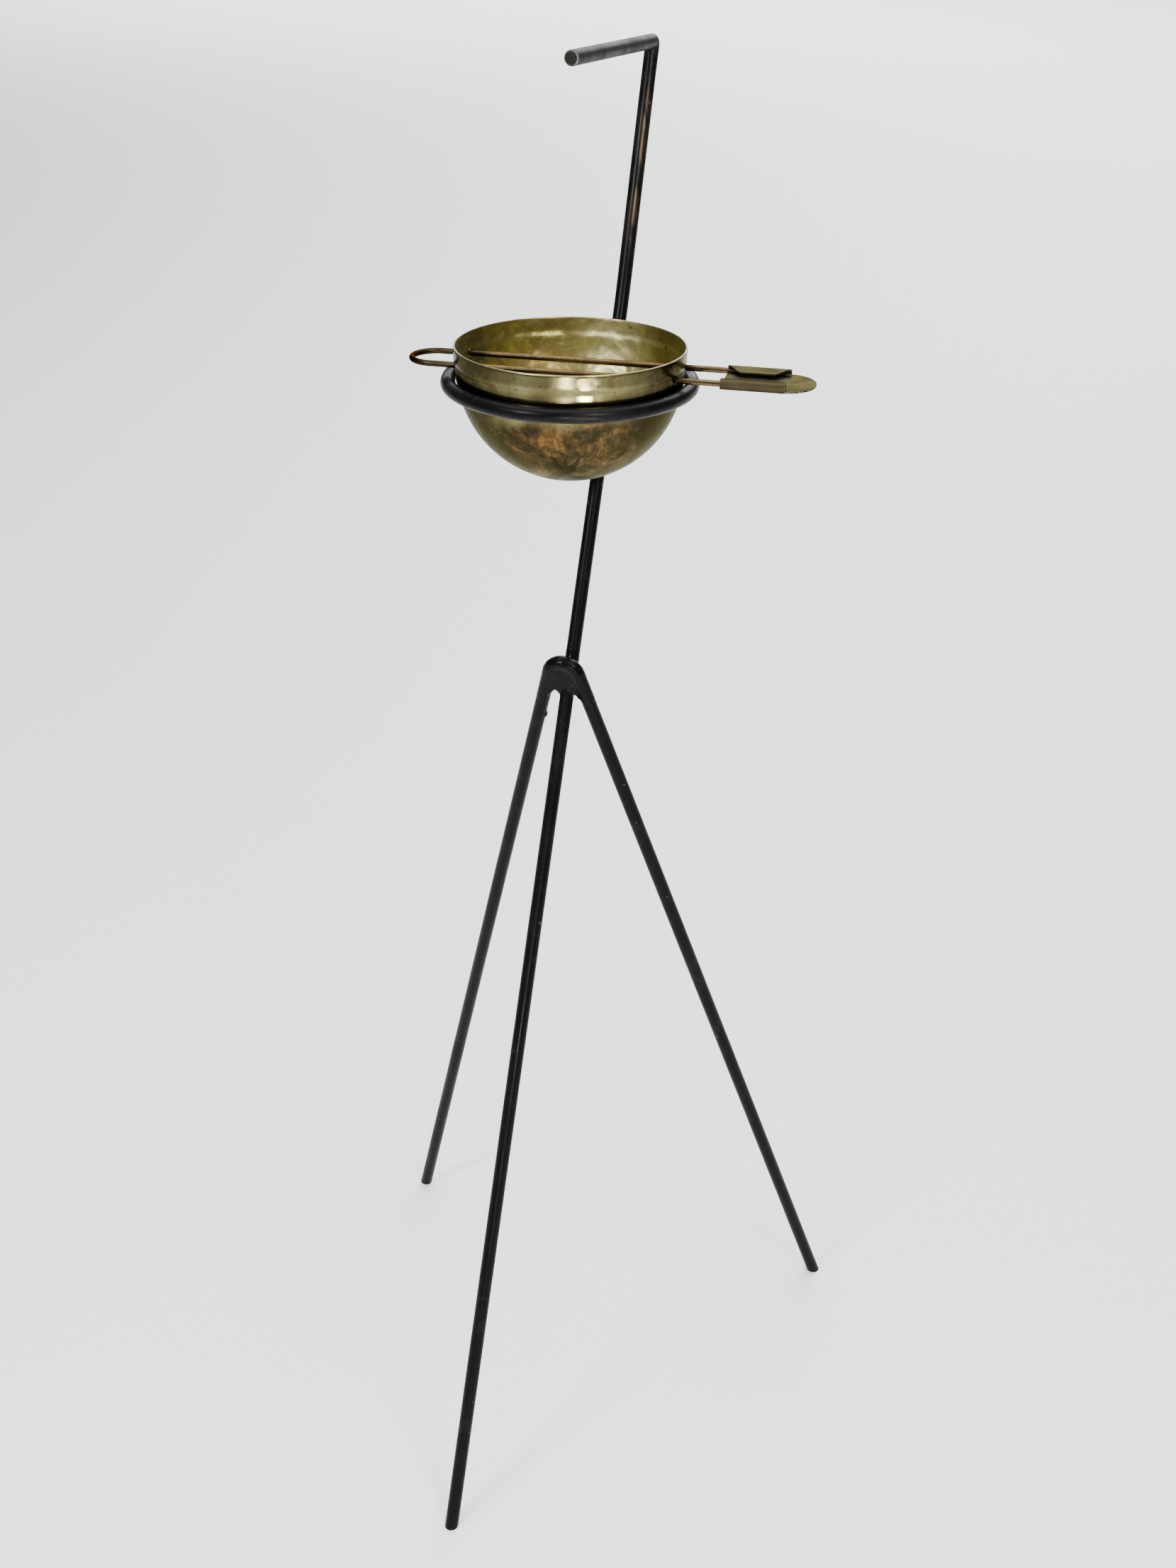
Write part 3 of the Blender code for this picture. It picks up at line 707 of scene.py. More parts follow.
class Nodes:
    """Adds nodes to a tree from left to right, and links sockets given as inputs."""

    def __init__(self, tree):
        self.tree = tree
        self.count = 0

    def add(self, kind, inputs=None, **settings):
        node = self.tree.nodes.new("ShaderNode" + kind)
        node.location = (190 * (self.count // 4), -260 * (self.count % 4))
        self.count += 1
        for name, value in settings.items():
            setattr(node, name, value)
        for name, value in (inputs or {}).items():
            self.give(node.inputs[name], value)
        return node

    def give(self, socket, value):
        """Link a socket to another one, or set it to a constant."""
        if isinstance(value, bpy.types.NodeSocket):
            self.tree.links.new(value, socket)
        else:
            socket.default_value = value

    def maths(self, operation, first, second=0.0, clamp=False):
        return self.add("Math", {0: first, 1: second}, operation=operation, use_clamp=clamp).outputs[0]

    def times(self, first, second):
        return self.maths("MULTIPLY", first, second)

    def plus(self, first, second, clamp=False):
        return self.maths("ADD", first, second, clamp)

    def minus(self, first, second):
        return self.maths("SUBTRACT", first, second)

    def most(self, first, second):
        return self.maths("MAXIMUM", first, second)

    def size(self, value):
        return self.maths("ABSOLUTE", value)

    def distance(self, first, second):
        return self.add("VectorMath", {0: first, 1: second}, operation="DISTANCE").outputs["Value"]

    def parts(self, vector):
        return self.add("SeparateXYZ", {"Vector": vector}).outputs

    def spread(self, value, low, high, to_low=0.0, to_high=1.0):
        """Stretch the values between low and high, with soft ends."""
        made = self.add("MapRange", {"Value": value, "From Min": low, "From Max": high, "To Min": to_low,
                                     "To Max": to_high}, interpolation_type="SMOOTHSTEP")
        return made.outputs["Result"]

    def mix(self, factor, first, second):
        made = self.add("Mix", data_type="RGBA")
        for name, value in (("Factor_Float", factor), ("A_Color", first), ("B_Color", second)):
            if name != "Factor_Float" and not isinstance(value, bpy.types.NodeSocket):
                value = (*value, 1.0)
            self.give(next(item for item in made.inputs if item.identifier == name), value)
        return next(item for item in made.outputs if item.identifier == "Result_Color")

    def over(self, below, colour, mask, amount):
        """Lay a colour over another where a mask is, as strongly as the amount says."""
        return self.mix(self.times(mask, amount), below, colour)

    def noise(self, vector, scale, detail=4.0, rough=0.55, distortion=0.0):
        return self.add("TexNoise", {"Vector": vector, "Scale": scale, "Detail": detail, "Roughness": rough,
                                     "Distortion": distortion}).outputs["Fac"]

    def placed(self, vector, location=(0, 0, 0), rotation=(0, 0, 0), scale=(1, 1, 1)):
        return self.add("Mapping", {"Vector": vector, "Location": location, "Rotation": rotation,
                                    "Scale": scale}).outputs["Vector"]

    def group(self, tree, **inputs):
        node = self.add("Group", node_tree=tree)
        for name, value in inputs.items():
            self.give(node.inputs[name], value)
        return node.outputs


def shared_group(name, outputs, **inputs):
    """Make a function's nodes a node group that is built once, and then found again by its name."""
    def wrap(build):
        def group():
            if name in bpy.data.node_groups:
                return bpy.data.node_groups[name]
            tree = bpy.data.node_groups.new(name, "ShaderNodeTree")
            tree.interface.new_socket("Vector", in_out="INPUT", socket_type="NodeSocketVector")
            for socket, default in inputs.items():
                made = tree.interface.new_socket(socket, in_out="INPUT", socket_type="NodeSocketFloat")
                made.default_value = default
            for socket in outputs:
                tree.interface.new_socket(socket, in_out="OUTPUT", socket_type="NodeSocketFloat")
            source = tree.nodes.new("NodeGroupInput")
            sink = tree.nodes.new("NodeGroupOutput")
            source.location = (-260, 0)
            sink.location = (1200, 0)
            for value, socket in zip(build(Nodes(tree), source.outputs), outputs):
                tree.links.new(value, sink.inputs[socket])
            return tree
        return group
    return wrap


# ---------------------------------------------------------------- shared effects

@shared_group("ashtray patches", ["Mask"], Scale=40.0, Low=0.45, High=0.6, Ragged=0.8)
def patches_group(n, given):
    """Ragged cloudy patches, such as tarnish: 1 inside a patch and 0 outside."""
    cloud = n.noise(given["Vector"], given["Scale"], 9.0, 0.62, given["Ragged"])
    return [n.spread(cloud, given["Low"], given["High"])]


@shared_group("ashtray scratches", ["Mask"], Scale=90.0)
def scratches_group(n, given):
    """Fine broken scratches in two directions."""
    lines = []
    for turn, stretch in (((0.4, 0.2, 0.7), (1.0, 0.05, 1.0)), ((1.1, -0.6, -0.5), (0.04, 1.0, 1.0))):
        along = n.placed(given["Vector"], rotation=turn, scale=stretch)
        wander = n.noise(along, given["Scale"], 2.0, 0.4, 0.3)
        near = n.size(n.minus(wander, 0.5))
        lines.append(n.spread(near, 0.0, 0.009, 1.0, 0.0))
    broken = n.spread(n.noise(given["Vector"], 160.0, 3.0), 0.5, 0.66)
    return [n.times(n.most(*lines), broken)]


@shared_group("ashtray specks", ["Mask", "Height"], Scale=220.0, Size=0.2, Share=0.2)
def specks_group(n, given):
    """Small round specks in some of the cells: their mask, and a height that dips in each."""
    wobble = n.add("TexNoise", {"Vector": given["Vector"], "Scale": 900.0, "Detail": 1.0})
    shifted = n.add("VectorMath", {0: wobble.outputs["Color"], "Scale": 0.0012}, operation="SCALE")
    bent = n.add("VectorMath", {0: given["Vector"], 1: shifted.outputs["Vector"]}, operation="ADD")
    cells = n.add("TexVoronoi", {"Vector": bent.outputs["Vector"], "Scale": given["Scale"]})
    chance = n.add("SeparateColor", {"Color": cells.outputs["Color"]}).outputs
    chosen = n.maths("LESS_THAN", chance["Red"], given["Share"])
    size = n.times(given["Size"], n.plus(chance["Green"], 0.35))
    inside = n.spread(n.maths("DIVIDE", cells.outputs["Distance"], size), 0.6, 1.0, 1.0, 0.0)
    mask = n.times(inside, chosen)
    return mask, n.minus(1.0, mask)


@shared_group("ashtray brushed skin", ["Height", "Dull"], Along=0.25)
def brushed_skin_group(n, given):
    """The surface of hand-applied black: soft flow marks, fine grit, and where it is duller."""
    stretch = n.add("CombineXYZ", {"X": 1.0, "Y": 1.0, "Z": given["Along"]}).outputs["Vector"]
    along = n.add("VectorMath", {0: given["Vector"], 1: stretch}, operation="MULTIPLY").outputs["Vector"]
    flow = n.noise(along, 260.0, 3.0, 0.5, 0.4)
    grit = n.noise(given["Vector"], 1500.0, 4.0, 0.6)
    soft = n.noise(given["Vector"], 75.0, 2.0, 0.5)
    height = n.plus(n.times(flow, 0.55), n.times(grit, 0.16))
    return n.plus(height, n.times(soft, 0.6)), n.spread(n.noise(along, 55.0, 6.0, 0.65, 0.6), 0.36, 0.68)


@shared_group("ashtray beaten sheet", ["Height"], Scale=170.0)
def beaten_group(n, given):
    """Shallow facets and ripples left by beating and polishing sheet brass."""
    cells = n.add("TexVoronoi", {"Vector": given["Vector"], "Scale": given["Scale"], "Smoothness": 0.7},
                  feature="SMOOTH_F1").outputs["Distance"]
    ripple = n.noise(given["Vector"], 95.0, 3.0, 0.5, 0.3)
    grain = n.noise(given["Vector"], 2200.0, 3.0, 0.6)
    height = n.plus(n.times(cells, 0.5), n.times(ripple, 0.8))
    return [n.plus(height, n.times(grain, 0.05))]


def patches(n, vector, scale, low, high, ragged=0.8):
    return n.group(patches_group(), Vector=vector, Scale=scale, Low=low, High=high, Ragged=ragged)["Mask"]


def scratches(n, vector, scale):
    return n.group(scratches_group(), Vector=vector, Scale=scale)["Mask"]


def specks(n, vector, scale, size, share):
    return n.group(specks_group(), Vector=vector, Scale=scale, Size=size, Share=share)


# ---------------------------------------------------------------- materials

def new_material(name):
    """An empty material: its nodes, its shader, and the Object coordinates."""
    material = bpy.data.materials.new(name)
    material.use_nodes = True
    tree = material.node_tree
    shader = tree.nodes["Principled BSDF"]
    shader.location = (1500, 0)
    tree.nodes["Material Output"].location = (1800, 0)
    n = Nodes(tree)
    return material, n, shader, n.add("TexCoord").outputs["Object"]


def plug(n, shader, height, strength, distance, **sockets):
    """Link colours and masks to the shader, and a height through a Bump node."""
    for name, value in sockets.items():
        n.give(shader.inputs[name.replace("_", " ")], value)
    bump = n.add("Bump", {"Height": height, "Strength": strength, "Distance": distance})
    n.tree.links.new(bump.outputs["Normal"], shader.inputs["Normal"])


def black_finish(name, s, roughness, lumps=0.35, coat=0.02, post=False):
    """Blackened iron: brushed gloss, specks, duller patches, and worn places along the post."""
    material, n, shader, at = new_material(name)
    skin = n.group(brushed_skin_group(), Vector=at, Along=0.22)
    brown = patches(n, at, 48.0, 0.5, 0.72)
    dots = specks(n, at, 185.0, 0.16, 0.16)
    marks = scratches(n, at, 70.0)
    tint = n.mix(n.times(brown, 0.10), s.paint, s.wear_and_painted_highlight)
    dull = n.times(skin["Dull"], 0.16)
    metal = n.times(brown, 0.06)
    rough = n.plus(dull, roughness)
    if post:
        parts = n.parts(at)
        streak = patches(n, n.placed(at, scale=(1.0, 1.0, 0.16)), 210.0, 0.40, 0.62, 0.3)
        band = n.times(n.spread(parts["Z"], 0.685, 0.735), n.spread(parts["Z"], 0.785, 0.803, 1.0, 0.0))
        off_line = n.size(n.minus(parts["X"], POST_X + 2.1 * MM))
        line = n.spread(off_line, 0.3 * MM, 1.3 * MM, 0.9, 0.12)
        rubbed = n.times(n.times(streak, band), line)
        tint = n.mix(rubbed, tint, s.wear_and_painted_highlight)
        metal = n.most(metal, n.times(rubbed, 0.8))
        hand = n.spread(parts["Z"], 0.8025, 0.8095)
        cloud = patches(n, at, 120.0, 0.25, 0.72)
        tint = n.over(tint, s.handled, hand, n.spread(cloud, 0.0, 1.0, 0.72, 1.0))
        rough = n.plus(rough, n.times(hand, 0.17))
        metal = n.most(metal, n.times(hand, 0.45))
    tint = n.over(tint, s.speck, dots["Mask"], 0.45)
    tint = n.over(tint, s.speck, marks, 0.12)
    rough = n.plus(rough, n.times(dots["Mask"], 0.2), clamp=True)
    height = n.plus(skin["Height"], n.times(dots["Height"], lumps))
    plug(n, shader, height, 0.5, 0.00013, Base_Color=tint, Roughness=rough, Metallic=metal,
         Specular_IOR_Level=0.055, Coat_Weight=coat, Coat_Roughness=0.12)
    return material


def worn_edge(name, s):
    """The rubbed, paler edge of a cut bar."""
    material, n, shader, at = new_material(name)
    rub = patches(n, at, 300.0, 0.3, 0.62)
    tint = n.mix(rub, s.handled, (0.16, 0.155, 0.15))
    plug(n, shader, rub, 0.3, 0.0002, Base_Color=tint, Roughness=n.spread(rub, 0, 1, 0.5, 0.36), Metallic=0.8)
    return material


def bowl_vector(n, at):
    """Object coordinates from the bowl's centre."""
    return n.placed(at, location=tuple(-BOWL_CENTRE))


def near_holes(n, at, w, reach, side=(-1, 1)):
    """A soft mask round the places where the wires pass through the wall."""
    found = None
    for run in (-1, 1):
        across = math.sqrt(BOWL_RADIUS ** 2 - w.half_spacing ** 2)
        for end in side:
            hole = wire_matrix(w) @ Vector((end * across, run * w.half_spacing, 0.0))
            away = n.distance(at, tuple(hole))
            near = n.spread(away, 0.3 * reach, reach, 1.0, 0.0)
            found = near if found is None else n.most(found, near)
    return found


def inside_brass(b, w):
    """Olive-gold brass inside the bowl: cloudy tarnish, rubbed places, stains, beaten facets, and a painted
    highlight on the back wall.
    """
    material, n, shader, at = new_material("bowl inside brass")
    cloud = patches(n, at, 26.0, 0.40, 0.66, 1.2)
    small = patches(n, at, 110.0, 0.46, 0.70)
    rubbed = patches(n, n.placed(at, location=(0.3, 0.1, 0.0)), 34.0, 0.50, 0.72)
    dots = specks(n, at, 240.0, 0.22, 0.22)
    marks = scratches(n, at, 60.0)
    grime = n.noise(at, 340.0, 5.0, 0.7)
    stain = n.times(near_holes(n, at, w, 0.032, (-1,)), n.spread(grime, 0.25, 0.55, 0.6, 1.0))
    local = n.parts(bowl_vector(n, at))
    bottom = n.times(n.spread(local["Z"], -0.056, -0.030, 1.0, 0.0), 0.55)
    tint = n.mix(n.times(cloud, 0.72), b.inside, b.inside_dark)
    tint = n.over(tint, b.inside_dark, small, 0.5)
    tint = n.over(tint, b.inside_pale, rubbed, 0.45)
    # Painted highlight: a pale patch on the inside back wall, right of the middle, broken up by the cloudy
    # tarnish.
    painted_highlight_centre = BOWL_CENTRE + Vector((0.006, 0.0585, -0.001))
    away = n.distance(at, tuple(painted_highlight_centre))
    wear_and_painted_highlight = n.times(n.spread(away, 0.008, 0.034, 1.0, 0.0), n.spread(cloud, 0.0, 1.0, 1.0, 0.5))
    tint = n.over(tint, b.inside_pale, wear_and_painted_highlight, 0.9)
    tint = n.over(tint, b.inside_dark, bottom, small)
    tint = n.over(tint, b.soot, stain, 0.66)
    tint = n.over(tint, b.soot, dots["Mask"], 0.55)
    tint = n.over(tint, b.inside_pale, marks, 0.25)
    rough = n.plus(n.times(cloud, 0.12), n.times(small, 0.08))
    rough = n.plus(rough, n.times(stain, 0.25))
    rough = n.plus(n.minus(rough, n.times(rubbed, 0.06)), 0.30, clamp=True)
    beaten = n.group(beaten_group(), Vector=at, Scale=150.0)["Height"]
    height = n.plus(beaten, n.times(dots["Height"], 0.08))
    height = n.minus(height, n.times(marks, 0.05))
    plug(n, shader, height, 0.80, 0.0010, Base_Color=tint, Roughness=rough, Metallic=1.0)
    return material


def outside_brass(b, w):
    """The bowl's outside: greenish collar, and below the ring a dark patina with orange-brown mottling;
    vertical painted reflection streaks on the collar, and painted shade on the left and right sides as seen
    from the camera.
    """
    material, n, shader, at = new_material("bowl outside brass")
    centred = bowl_vector(n, at)
    local = n.parts(centred)
    edge = n.noise(at, 42.0, 6.0, 0.6, 0.5)
    level = n.plus(local["Z"], n.times(n.minus(edge, 0.5), 0.030))
    under = n.spread(level, -0.020, -0.006, 1.0, 0.0)
    cloud = patches(n, at, 30.0, 0.38, 0.66, 1.0)
    # Painted reflection: vertical darker streaks on the collar, standing in for the surroundings mirrored in
    # it.
    painted_reflection_streaks = patches(n, n.placed(at, scale=(1.0, 1.0, 0.3)), 75.0, 0.42, 0.68, 0.5)
    fine = patches(n, at, 260.0, 0.36, 0.66, 0.6)
    blaze = patches(n, n.placed(at, location=(0.0, 0.21, 0.4)), 33.0, 0.44, 0.62, 1.4)
    dots = specks(n, at, 300.0, 0.24, 0.3)
    marks = scratches(n, at, 55.0)
    tint = n.mix(n.times(cloud, 0.62), b.collar, b.inside_dark)
    tint = n.over(tint, b.under, painted_reflection_streaks, 0.30)
    # A frame turned so that its X points towards the camera. Painted shade: the left and right sides as seen
    # from the camera get the underside colour, standing in for the darker surroundings they reflect.
    facing = n.placed(centred, rotation=(0.0, 0.0, math.radians(70.5)))
    side = n.parts(facing)
    painted_side_shade = n.spread(n.size(side["Y"]), 0.024, 0.052)
    tint = n.over(tint, b.under, painted_side_shade, n.spread(fine, 0.0, 1.0, 0.74, 0.96))
    rust = n.times(blaze, n.spread(fine, 0.0, 1.0, 0.35, 1.0))
    # Painted shade: the orange mottling fades on the left and right sides as seen from the camera.
    rust = n.times(rust, n.spread(n.size(side["Y"]), 0.018, 0.046, 1.0, 0.15))
    low = n.mix(n.times(rust, 0.82), b.under, b.rust)
    low = n.mix(n.times(n.times(cloud, fine), 0.22), low, b.collar)
    wander = n.times(n.minus(n.noise(at, 150.0, 3.0), 0.5), 0.009)
    line = n.plus(side["Y"], wander)
    climb = n.plus(side["Z"], 0.047)
    off = n.size(line)
    for slope in (-0.62, 0.55):
        off = n.maths("MINIMUM", off, n.size(n.minus(line, n.times(climb, slope))))
    width = n.spread(side["Z"], -0.053, -0.034, 0.0042, 0.0006)
    vein = n.times(n.spread(n.maths("DIVIDE", off, width), 0.6, 1.25, 1.0, 0.0),
                   n.spread(side["Z"], -0.038, -0.028, 1.0, 0.0))
    vein = n.times(vein, n.maths("GREATER_THAN", side["X"], 0.0))
    tint = n.mix(under, tint, low)
    tint = n.over(tint, b.soot, vein, 0.85)
    tint = n.over(tint, b.soot, near_holes(n, at, w, 0.0075), 0.85)
    tint = n.over(tint, b.soot, dots["Mask"], 0.45)
    tint = n.over(tint, b.inside_pale, marks, n.spread(under, 0.0, 1.0, 0.12, 0.02))
    rough = n.plus(n.spread(under, 0.0, 1.0, 0.18, 0.33), n.times(cloud, 0.07))
    rough = n.plus(rough, n.times(n.times(fine, under), 0.10), clamp=True)
    metal = n.minus(1.0, n.times(n.times(rust, under), 0.45))
    beaten = n.group(beaten_group(), Vector=at, Scale=120.0)["Height"]
    height = n.plus(beaten, n.times(n.times(fine, under), 0.05))
    height = n.minus(height, n.times(marks, 0.05))
    plug(n, shader, height, 0.30, 0.0006, Base_Color=tint, Roughness=rough, Metallic=metal,
         Specular_IOR_Level=0.2, Specular_Tint=(0.62, 0.62, 0.52, 1.0))
    return material


def rim_brass(b):
    """The rubbed edge of the bowl, with dents of tarnish."""
    material, n, shader, at = new_material("bowl rim brass")
    tarnish = patches(n, at, 90.0, 0.48, 0.66)
    tint = n.mix(n.times(tarnish, 0.7), b.rim, b.inside_dark)
    plug(n, shader, n.noise(at, 700.0, 4.0), 0.3, 0.0002, Base_Color=tint,
         Roughness=n.spread(tarnish, 0.0, 1.0, 0.28, 0.42), Metallic=1.0)
    return material


def bronze_finish(w, wall_tarnish):
    """Drawn bronze wire: bright where it lies in the bowl, dark where it meets the wall and on the loop."""
    material, n, shader, at = new_material("bronze wire")
    cloud = patches(n, at, 95.0, 0.42, 0.66)
    dots = specks(n, at, 420.0, 0.25, 0.35)
    marks = scratches(n, at, 110.0)
    from_bowl = n.distance(at, tuple(BOWL_CENTRE))
    outer = n.spread(n.parts(at)["X"],
                     BOWL_CENTRE.x - BOWL_RADIUS + 0.012, BOWL_CENTRE.x - BOWL_RADIUS - 0.004, 0.0, 1.0)
    wall = n.spread(n.size(n.minus(from_bowl, BOWL_RADIUS - 0.004)), 0.004, 0.016, 1.0, 0.0)
    dark = n.most(n.times(cloud, 0.5), n.times(wall, wall_tarnish))
    dark = n.most(dark, n.times(outer, 0.86))
    tint = n.mix(dark, w.bronze, w.bronze_dark)
    tint = n.over(tint, w.bronze_dark, dots["Mask"], 0.5)
    rough = n.plus(n.times(dark, 0.12), 0.24)
    height = n.plus(n.noise(at, 900.0, 4.0), n.times(marks, -0.3))
    plug(n, shader, height, 0.25, 0.0002, Base_Color=tint, Roughness=rough, Metallic=1.0,
         Specular_Tint=(0.45, 0.38, 0.26, 1.0))
    return material


def sheet_finish(c, w):
    """Dull sheet brass with tarnish; coppery on the rolled edges."""
    material, n, shader, at = new_material("sheet brass")
    turned_back = n.placed(at, location=tuple(-(BOWL_CENTRE - Z * w.below)))
    along = n.placed(turned_back, rotation=(0.0, 0.0, -w.turn))
    parts = n.parts(along)
    cloud = patches(n, at, 60.0, 0.38, 0.68, 0.9)
    fine = patches(n, at, 420.0, 0.36, 0.70, 0.4)
    grain = n.noise(n.placed(along, scale=(0.08, 1.0, 1.0)), 1600.0, 3.0, 0.6)
    marks = scratches(n, at, 130.0)
    front = n.spread(parts["Y"], -w.half_spacing + 0.0005, -w.half_spacing + 0.0034, 1.0, 0.0)
    rolled = n.times(front, n.spread(parts["X"], c.end - 0.0006, c.end + 0.0006, 1.0, 0.0))
    tint = n.mix(n.times(cloud, 0.55), c.brass, c.brass_dark)
    tint = n.over(tint, c.brass_dark, fine, 0.25)
    tint = n.over(tint, c.copper, rolled, n.spread(fine, 0.0, 1.0, 0.98, 0.85))
    tint = n.over(tint, c.edge, marks, 0.08)
    rough = n.plus(n.times(cloud, 0.12), n.spread(grain, 0.3, 0.7, 0.38, 0.50))
    height = n.plus(n.times(grain, 0.35), n.noise(at, 260.0, 4.0))
    height = n.minus(height, n.times(marks, 0.2))
    plug(n, shader, height, 0.3, 0.0003, Base_Color=tint, Roughness=rough, Metallic=1.0,
         Specular_Tint=(0.36, 0.34, 0.24, 1.0))
    return material


def cut_edge_brass(c):
    """The sheet's cut edges, rubbed bright with dull gaps."""
    material, n, shader, at = new_material("cut edge brass")
    gaps = patches(n, at, 150.0, 0.34, 0.52)
    tint = n.mix(n.times(gaps, 0.93), c.edge, c.brass_dark)
    plug(n, shader, gaps, 0.3, 0.0002, Base_Color=tint, Roughness=n.spread(gaps, 0.0, 1.0, 0.26, 0.45),
         Metallic=1.0)
    return material


# ---------------------------------------------------------------- operators

def finish_stand(context, shape, name, finish, node, gloss=0.0, coat=0.02, sharp=35.0):
    """Build one of the stand's plain black pieces, a little duller or glossier than its bars."""
    s = context.scene.ashtray_stand
    black = black_finish(finish, s, s.gloss + gloss, coat=coat)
    finish_piece(shape(s, StandLines(s)), name, [black], "stand", node, sharp)
    return {"FINISHED"}


class ASHTRAY_OT_post_rod(Operator):
    """Build the bar that is the front leg, the leaning post and the handle"""
    bl_idname = "ashtray.post_rod"
    bl_label = "Post and handle"

    def execute(self, context):
        s = context.scene.ashtray_stand
        lines = StandLines(s)
        bm = post_mesh(s, lines)
        end = lines.place @ (lines.corner + lines.handle_way * s.handle_length)
        for face in bm.faces:
            middle = face.calc_center_median() - end
            out = middle - lines.handle_way * middle.dot(lines.handle_way)
            if middle.length < 1.2 * s.bar_radius and 0.76 * s.bar_radius < out.length < 0.975 * s.bar_radius:
                face.material_index = 1
        finishes = [black_finish("black bar", s, s.gloss, post=True), worn_edge("rubbed bar edge", s)]
        finish_piece(bm, "post", finishes, "stand", "post_rod")
        return {"FINISHED"}


class ASHTRAY_OT_rear_legs(Operator):
    """Build the hairpin of bar that is the two rear legs"""
    bl_idname = "ashtray.rear_legs"
    bl_label = "Rear legs"

    def execute(self, context):
        return finish_stand(context, hairpin_mesh, "hairpin_legs", "black legs", "rear_legs",
                                  gloss=0.04)


class ASHTRAY_OT_leg_weld(Operator):
    """Build the thick weld that joins the hairpin to the post"""
    bl_idname = "ashtray.leg_weld"
    bl_label = "Leg weld"

    def execute(self, context):
        return finish_stand(context, leg_weld_mesh, "weld_at_legs", "black weld", "leg_weld",
                                  gloss=-0.06, coat=0.03, sharp=180.0)


class ASHTRAY_OT_bowl_ring(Operator):
    """Build the ring of bar that the bowl sits in"""
    bl_idname = "ashtray.bowl_ring"
    bl_label = "Bowl ring"

    def execute(self, context):
        return finish_stand(context, ring_mesh, "ring", "black ring", "bowl_ring", coat=0.03)


class ASHTRAY_OT_ring_weld(Operator):
    """Build the weld that joins the ring to the post"""
    bl_idname = "ashtray.ring_weld"
    bl_label = "Ring weld"

    def execute(self, context):
        return finish_stand(context, ring_weld_mesh, "weld_at_ring", "black ring weld", "ring_weld",
                                  sharp=180.0)


class ASHTRAY_OT_bowl(Operator):
    """Turn the brass bowl and drill its four holes"""
    bl_idname = "ashtray.bowl"
    bl_label = "Bowl"

    def execute(self, context):
        b = context.scene.ashtray_bowl
        w = context.scene.ashtray_wire
        bm = drill_holes(bowl_mesh(b), w, b)
        paint_bowl_faces(bm, b)
        finish_piece(bm, "brass_bowl", [outside_brass(b, w), inside_brass(b, w), rim_brass(b)],
                     "bowl_body", "bowl")
        return {"FINISHED"}


class ASHTRAY_OT_wire_loop(Operator):
    """Bend the wire that runs through the bowl"""
    bl_idname = "ashtray.wire_loop"
    bl_label = "Wire loop"

    def execute(self, context):
        w = context.scene.ashtray_wire
        finish_piece(wire_mesh(w), "wire", [bronze_finish(w, 0.8)], "wire_set", "wire_loop")
        return {"FINISHED"}


class ASHTRAY_OT_clip_plate(Operator):
    """Roll the sheet clip round the wire's two ends"""
    bl_idname = "ashtray.clip_plate"
    bl_label = "Clip plate"

    def execute(self, context):
        c = context.scene.ashtray_clip
        w = context.scene.ashtray_wire
        clip = finish_piece(clip_mesh(w, c), "clip", [sheet_finish(c, w), cut_edge_brass(c)],
                            "wire_set", "clip_plate")
        wall = clip.modifiers.new("sheet", "SOLIDIFY")
        wall.thickness = c.sheet * 0.98
        wall.offset = 0.0
        wall.material_offset_rim = 1
        soft = clip.modifiers.new("broken edge", "BEVEL")
        soft.width = 0.16 * MM
        soft.segments = 3
        soft.limit_method = "ANGLE"
        soft.angle_limit = math.radians(50)
        return {"FINISHED"}


OBJECT_MIDDLE = (0.0, 0.0, 0.35)
# Each lamp's name, place, the place it points at, its two sides, its tint (None for the surround's) and its
# beam in degrees.
LAMPS = (
    ("ceiling", (0.0, 2.8, 2.8), (0.0, 2.8, 0.0), (3.0, 8.4), None, 180.0),
    ("far ceiling", (-3.4, 9.0, 2.8), (-3.4, 9.0, 0.0), (9.0, 6.0), None, 180.0),
    ("left lamp", (-0.54, -1.39, 1.35), OBJECT_MIDDLE, (0.30, 0.30), (0.93, 0.97, 1.0), 180.0),
    ("right lamp", (1.06, -1.00, 1.40), OBJECT_MIDDLE, (0.40, 0.40), (1.0, 0.97, 0.92), 180.0),
    ("low lamp", (0.39, -1.13, 0.375), (0.0, 0.0, 0.45), (0.05, 0.05), (0.92, 0.97, 1.0), 180.0),
    ("spark", (0.70, -0.90, 0.20), (0.03, -0.03, 0.66), (0.03, 0.03), (1.0, 0.98, 0.9), 14.0),
)
CAMERA_PLACE = (0.384804, -0.934274, 0.939126)
CAMERA_LEFT, CAMERA_DOWN, CAMERA_ROLL = (math.radians(turn) for turn in (20.768, 26.859, 0.772))


def add_area(name, place, aim, size, tint, spread, power):
    """A soft rectangular light that points at a place."""
    light = bpy.data.lights.new(name, "AREA")
    light.shape = "RECTANGLE"
    light.size, light.size_y = size
    light.energy = power
    light.spread = math.radians(spread)
    light.color = tint
    lamp = bpy.data.objects.new(name, light)
    lamp.location = place
    lamp.rotation_mode = "QUATERNION"
    lamp.rotation_quaternion = (Vector(aim) - Vector(place)).to_track_quat("-Z", "Y")
    bpy.context.scene.collection.objects.link(lamp)


